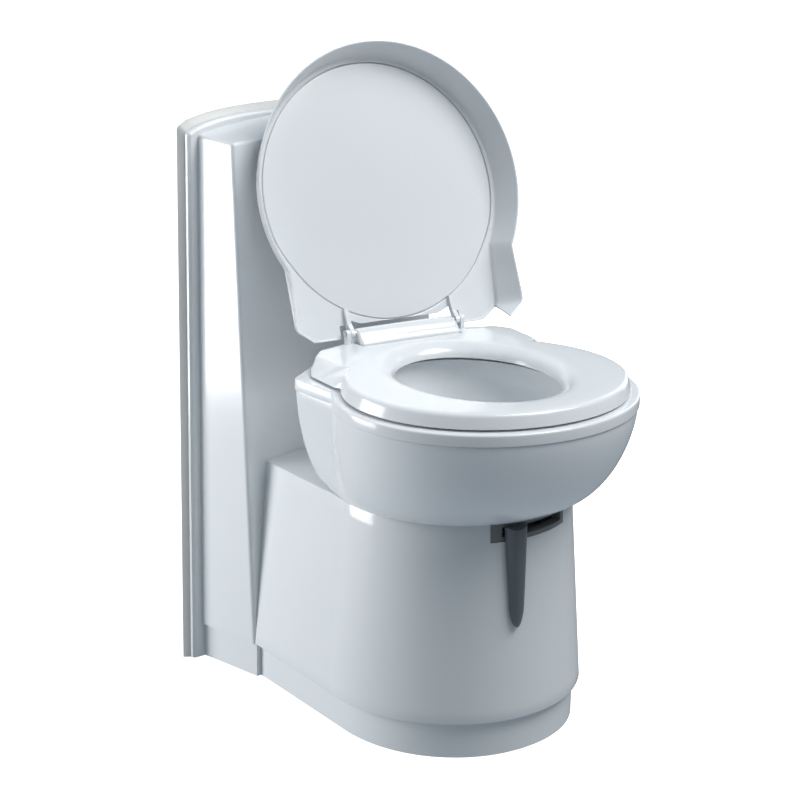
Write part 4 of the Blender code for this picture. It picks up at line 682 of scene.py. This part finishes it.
def make_hinge_block():
    """The arched cover over the hinge pins, with two soft ridges along it."""
    columns = []
    for i in range(61):
        u = mix(-1.0, 1.0, i / 60)
        near = (1.0 - abs(u)) * HINGE_HALF
        edge = 0.0030
        fall = 0.0
        if near < edge:
            fall = edge - math.sqrt(max(0.0, edge ** 2 - (edge - near) ** 2))
        crown = 0.0015 * (1.0 - u * u) - fall
        points = [(0.1070 + fall, 0.4733), (0.1070 + fall, 0.4940 + crown), (0.1115, 0.5005 + crown),
                  (0.1145, 0.5028 + crown), (0.1190, 0.5078 + crown), (0.1240, 0.5112 + crown),
                  (0.1325, 0.5132 + crown * 0.5), (0.1385, 0.5090 - fall), (0.1395 - fall, 0.4733)]
        section = [Vector((u * HINGE_HALF, y, z)) for y, z in points]
        columns.append(soften(section, [0.0, 0.0040, 0.0022, 0.0022, 0.0030, 0.0030, 0.0030, 0.0030, 0.0], 4))
    block = solid("hinge_cover", skin("hinge_cover", columns, around=False, caps=True))
    change(block, [rod("bore", (-0.09, HINGE_Y, HINGE_Z), (0.09, HINGE_Y, HINGE_Z), HINGE_BORE_R, 32)])
    place(block, "bowl", "gloss_white", "hinge_block", turn=BOWL_TURN)


# ---------------------------------------------------------------- seat
def seat_outline(top):
    """Plan outline of the seat at its lower or its top edge."""
    half = SEAT_HALF_TOP if top else SEAT_HALF_LOW
    rear = SEAT_REAR_TOP if top else SEAT_REAR_LOW
    front = []
    for i in range(181):
        t = math.radians(mix(-140.0, 140.0, i / 180))
        x, y = half * math.sin(t), RIM_CENTRE - half * SEAT_RATIO * math.cos(t)
        if y < rear[0][1] - 0.008:
            front.append((x, y))
    cuts = [0.0] * len(front) + [0.0050, 0.0045, 0.0045, 0.0050, 0.0050, 0.0045, 0.0045, 0.0050]
    return soften_plan(front + rear + [(-x, y) for x, y in reversed(rear)], cuts, 8)


def make_seat():
    origin = (0.0, BORE_CENTRE)
    low, top = seat_outline(False), seat_outline(True)
    marks = [(x, y - BORE_CENTRE) for x, y in SEAT_REAR_TOP + SEAT_REAR_LOW[:2]]
    columns = []
    for angle in dense_angles(marks):
        outer = reach(low, angle, origin)
        crest = reach(top, angle, origin)
        hole = ellipse_at(*SEAT_HOLE, BORE_CENTRE, angle, origin)
        lip = ellipse_at(*SEAT_LIP, BORE_CENTRE, angle, origin)
        middle = (mix(crest[0], hole[0], 0.45), mix(crest[1], hole[1], 0.45))
        section = [Vector((*outer, SEAT_LOW)), Vector((*crest, SEAT_TOP - 0.0005)),
                   Vector((*middle, SEAT_TOP)), Vector((*hole, SEAT_TOP - 0.0004))]
        cuts = [0.0016, 0.0052, 0.0100, 0.0080]
        for across, down in ((0.35, 0.10), (0.68, 0.32), (0.90, 0.62), (1.0, 1.0)):
            section.append(Vector((mix(hole[0], lip[0], across), mix(hole[1], lip[1], across),
                                   mix(SEAT_TOP, SEAT_LOW, down))))
            cuts.append(0.0040 if down < 1.0 else 0.0010)
        columns.append(soften(section, cuts, 5))
    ring = solid("seat_moulding", skin("seat_moulding", columns))
    change(ring, [soft_slab("notch", (-0.0790, 0.1045, 0.40), (0.0790, 0.1785, 0.55), 0.0040, 2)])
    turns = [math.radians(a) for a in range(0, 181, 9)]
    foot = SEAT_TOP - HINGE_Z - 0.004
    ears = []
    for side in (-1, 1):
        x0, x1 = sorted((side * EAR_FROM, side * EAR_TO))
        section = [(EAR_R * math.cos(a), EAR_R * math.sin(a)) for a in turns]
        section += [(-EAR_R, foot), (0.002, foot)]
        rings = [[Vector((x, HINGE_Y + y, HINGE_Z + z)) for y, z in section] for x in (x0, x1)]
        ears.append(solid("ear", skin("ear", rings, around=False, caps=True)))
    change(ring, ears, "UNION")
    change(ring, [rod("bore", (-0.12, HINGE_Y, HINGE_Z), (0.12, HINGE_Y, HINGE_Z), HINGE_BORE_R, 32)])
    place(ring, "seat", "gloss_white", "seat_ring", turn=BOWL_TURN, sharp=45.0)


# ---------------------------------------------------------------- lid
def from_lid(x, s, d):
    """Lid coordinates (across, along from its centre, depth behind the rim) to the bowl's frame."""
    along, deep = s + LID_CENTRE, d - LID_PIN_DEPTH
    cos, sin = math.cos(LID_LEAN), math.sin(LID_LEAN)
    return Vector((x, HINGE_Y + sin * along + cos * deep, HINGE_Z + cos * along - sin * deep))


def lid_outline(depth, inset):
    """The skirt's outline at a depth: a circle, and two wings that run down to the hinge."""
    radius = mix(LID_R, LID_BACK_R, depth / LID_DEPTH) - inset
    slope = 0.0220 * min(1.0, depth / 0.0320)
    join = math.atan2(WING_JOIN[0], -WING_JOIN[1])
    points = arc(radius, join, 2.0 * math.pi - join, 180)
    corner = (WING_CORNER[0] - slope - inset, WING_CORNER[1])
    foot = (WING_FOOT[0] - slope * 0.6 - inset, WING_FOOT[1] + slope * 0.4 + inset * 0.5)
    line = [foot, corner] + points + [(-corner[0], corner[1]), (-foot[0], foot[1])]
    cuts = [0.0, 0.0075] + [0.0200] + [0.0] * 179 + [0.0200] + [0.0075, 0.0]
    return soften_plan(line, cuts, 7)


def lid_cut(low, high):
    """A box in lid coordinates."""
    corners = []
    for d in (low[2], high[2]):
        corners.append([from_lid(x, s, d) for x, s in
                        ((low[0], low[1]), (high[0], low[1]), (high[0], high[1]), (low[0], high[1]))])
    return solid("lid_cut", skin("lid_cut", corners, around=False, caps=True))


def wing_share(angle):
    """1 towards the hinge, 0 round the lid's free end, with a short fade."""
    return max(0.0, min(1.0, (math.cos(angle) - 0.30) / 0.20))


def make_lid():
    outer_depths = (0.0, 0.0120, 0.0240, 0.0340, 0.0415, LID_BACK)
    inner_depths = (0.0, 0.0040, 0.0120, 0.0220, 0.0320, LID_FLOOR)
    outer = [lid_outline(d, 0.0) for d in outer_depths]
    inner = [lid_outline(d, LID_SHELL) for d in inner_depths]
    marks = [(x, -s) for x, s in (WING_CORNER, WING_FOOT, WING_JOIN, (0.1590, WING_CORNER[1]))]
    columns = []
    for angle in dense_angles(marks, 260):
        out = (math.sin(angle), -math.cos(angle))
        groove = mix(0.1780, 0.1752, wing_share(angle))

        def at(radius, d):
            return from_lid(out[0] * radius, out[1] * radius, d)

        def spot(outline, d):
            x, s = reach(outline, angle, (0.0, 0.0))
            return from_lid(x, s, d)

        line = [at(0.0010, LID_BACK), at(0.1200, LID_BACK)]
        line += [spot(outline, d) for outline, d in reversed(list(zip(outer, outer_depths)))]
        line += [spot(outline, d) for outline, d in zip(inner, inner_depths)]
        line += [at(groove + 0.0009, LID_FLOOR), at(groove + 0.0007, DISC_SEAT), at(0.0010, DISC_SEAT)]
        cuts = [0.0, 0.0, 0.0045, 0.001, 0.003, 0.003, 0.003, 0.0011]
        cuts += [0.0011, 0.001, 0.003, 0.003, 0.003, 0.0022, 0.0012, 0.0003, 0.0]
        columns.append(soften(line, cuts, 5, loop=False))
    shell = solid("lid_moulding", skin("lid_moulding", columns, around=True, loop=False, caps=True))
    below = -0.2300
    change(shell, [lid_cut((-EAR_ROOM_HALF, below, -0.01), (EAR_ROOM_HALF, WING_CORNER[1], 0.06)),
                   lid_cut((-FOOT_ROOM_HALF, below, -0.01), (FOOT_ROOM_HALF, -0.1500, LID_FLOOR - 0.0002))])
    gap = lid_cut((-PIN_ROOM_HALF, below, -0.01), (PIN_ROOM_HALF, -0.1000, 0.06))
    round_back = arc(LID_BACK_R, 0.0, 2.0 * math.pi, 180)[:-1]
    disc = [[from_lid(x, -s, d) for x, s in round_back] for d in (-0.02, 0.07)]
    change(gap, [solid("disc", skin("disc", disc, around=False, caps=True))])
    change(shell, [gap])
    place(shell, "lid", "gloss_white", "lid_shell", turn=BOWL_TURN, sharp=40.0)


def make_lid_disc():
    columns = []
    for i in range(240):
        angle = 2.0 * math.pi * i / 240
        edge = mix(0.1773, 0.1745, wing_share(angle))
        out = (math.sin(angle), -math.cos(angle))
        radii = [(0.0010, 0.0384), (edge - 0.0300, 0.0384), (edge, 0.0386), (edge, 0.0411), (0.0010, 0.0411)]
        line = [from_lid(out[0] * r, out[1] * r, d) for r, d in radii]
        columns.append(soften(line, [0.0, 0.0, 0.0016, 0.0004, 0.0], 5, loop=False))
    disc = solid("lid_disc", skin("lid_disc", columns, around=True, loop=False, caps=True))
    place(disc, "lid", "gloss_white", "lid_inner_disc", turn=BOWL_TURN)


# ---------------------------------------------------------------- the CAD pieces that are kept
# finish -> piece -> width of its rounded edges
KEPT = {
    "inner_white": {
        "base_tray": 0.0008, "mechanism_plate": 0.0006, "outlet_sleeve": 0.0006,
        "glide_ring": 0.0003, "retaining_ring": 0.0006, "rinse_nozzle": 0.0012,
    },
    "tank_grey": {
        "water_tank": 0.0040, "flush_hose": 0.0, "cassette_lower": 0.0030, "cassette_upper": 0.0020,
        "sliding_cover": 0.0010, "pour_spout": 0.0012, "filler_cap": 0.0012,
    },
    "mid_grey": {
        "flush_pump": 0.0008, "hose_union": 0.0006, "drive_ring": 0.0005,
        "blade_drive_shaft": 0.0005, "cassette_blade": 0.0006,
    },
    "steel": {
        "hinge_pin_left": 0.0006, "hinge_pin_right": 0.0006, "wheel_axle": 0.0005,
    },
    "gloss_white": {
        "lid_bracket_left": 0.0008, "lid_bracket_right": 0.0008,
    },
    "rubber": {
        "seat_bumper_1": 0.0008, "seat_bumper_2": 0.0008, "seat_bumper_3": 0.0008,
        "seat_bumper_4": 0.0008, "cassette_seal": 0.0006, "level_float": 0.0010,
        "wheel_left": 0.0020, "wheel_right": 0.0020,
    },
    "slate": {
        "spout_cap": 0.0012, "vent_button": 0.0008, "trolley_handle": 0.0010,
        "cassette_latch": 0.0008,
    },
}


def dress_kept_nodes():
    """Round the kept pieces' edges and give each the finish of its material slot."""
    pieces = [(name, slot, width) for slot, items in KEPT.items() for name, width in items.items()]
    for name, slot, width in pieces:
        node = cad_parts[name]
        node.data.materials.clear()
        node.data.materials.append(FINISHES[slot])
        node.data.shade_smooth()
        node.data.set_sharp_from_angle(angle=math.radians(35.0))
        if width:
            edge = node.modifiers.new("edge", "BEVEL")
            edge.width = width
            edge.segments = 3
            edge.limit_method = "ANGLE"
            edge.angle_limit = math.radians(40.0)
            edge.harden_normals = True


# ---------------------------------------------------------------- studio
def make_floor():
    """A plain white floor that stays white under the soft light."""
    bm = bmesh.new()
    bmesh.ops.create_grid(bm, x_segments=4, y_segments=4, size=25.0)
    mesh = bpy.data.meshes.new("floor")
    bm.to_mesh(mesh)
    bm.free()
    floor = solid("floor", mesh)
    floor.location.z = -0.0005
    made = bpy.data.materials.new("floor")
    made.use_nodes = True
    shader = made.node_tree.nodes["Principled BSDF"]
    shader.inputs["Base Color"].default_value = (0.9, 0.9, 0.9, 1.0)
    shader.inputs["Roughness"].default_value = 0.9
    shader.inputs["Emission Color"].default_value = (1.0, 1.0, 1.0, 1.0)
    shader.inputs["Emission Strength"].default_value = 1.0
    mesh.materials.append(made)
    floor.visible_diffuse = False
    floor.visible_glossy = False


def lamp(name, spot, aim, width, height, power, colour=(1.0, 1.0, 1.0)):
    data = bpy.data.lights.new(name, "AREA")
    data.shape = "RECTANGLE"
    data.size = width
    data.size_y = height
    data.energy = power
    data.color = colour
    made = bpy.data.objects.new(name, data)
    bpy.context.scene.collection.objects.link(made)
    made.location = spot
    made.rotation_euler = (Vector(aim) - Vector(spot)).to_track_quat("-Z", "Y").to_euler()


def make_studio():
    """A cool world that is dim at the horizon, and three soft lamps."""
    world = bpy.data.worlds.new("studio")
    bpy.context.scene.world = world
    world.use_nodes = True
    nodes, links = world.node_tree.nodes, world.node_tree.links
    place_in_sky = nodes.new("ShaderNodeTexCoord")
    split = nodes.new("ShaderNodeSeparateXYZ")
    height = nodes.new("ShaderNodeMapRange")
    height.inputs["From Min"].default_value = -1.0
    level = nodes.new("ShaderNodeValToRGB")
    level.color_ramp.elements[0].color = (0.70, 0.70, 0.70, 1.0)
    level.color_ramp.elements[1].color = (0.58, 0.58, 0.58, 1.0)
    horizon = level.color_ramp.elements.new(0.5)
    horizon.color = (0.07, 0.07, 0.07, 1.0)
    links.new(place_in_sky.outputs["Generated"], split.inputs["Vector"])
    links.new(split.outputs["Z"], height.inputs["Value"])
    links.new(height.outputs["Result"], level.inputs["Fac"])
    back = nodes["Background"]
    back.inputs["Color"].default_value = (0.79, 0.90, 1.0, 1.0)
    links.new(level.outputs["Color"], back.inputs["Strength"])
    lamp("key", (-1.50, 1.20, 0.50), (-0.12, 0.12, 0.36), 1.0, 1.2, 30.0, (0.99, 0.995, 1.0))
    lamp("sky", (0.80, -1.30, 2.75), (0.0, 0.0, 0.50), 1.7, 1.7, 62.0, (1.0, 1.0, 0.99))
    lamp("right", (2.2, 0.6, 1.1), (0.0, 0.0, 0.40), 1.2, 1.6, 7.0)


def make_camera():
    """From the front left, a little above, rolled by about a degree and aimed beside the swivel axis."""
    turn, lift, roll = math.radians(-40.0), math.radians(17.28), math.radians(1.08)
    away, aside, raised, aim_z = 2.8968, -0.06899, 0.10275, 0.330
    behind = Vector((math.sin(turn) * math.cos(lift), -math.cos(turn) * math.cos(lift), math.sin(lift)))
    right = (-behind).cross(Vector((0, 0, 1))).normalized()
    up = right.cross(-behind)
    across = right * math.cos(roll) + up * math.sin(roll)
    above = -right * math.sin(roll) + up * math.cos(roll)
    target = Vector((0.0, 0.0, aim_z)) + across * aside + above * raised
    data = bpy.data.cameras.new("camera")
    data.lens = 97.06
    data.sensor_width = 36.0
    camera = bpy.data.objects.new("camera", data)
    bpy.context.scene.collection.objects.link(camera)
    axes = Matrix((across, above, behind)).transposed().to_4x4()
    camera.matrix_world = Matrix.Translation(target + behind * away) @ axes
    bpy.context.scene.camera = camera
    bpy.context.scene.view_settings.view_transform = "Standard"


make_wall_panel()
make_backrest()
make_pedestal()
make_plinth()
make_bezel()
make_lever()
make_bowl()
make_liner()
make_hinge_block()
make_seat()
make_lid()
make_lid_disc()
dress_kept_nodes()
make_floor()
make_studio()
make_camera()
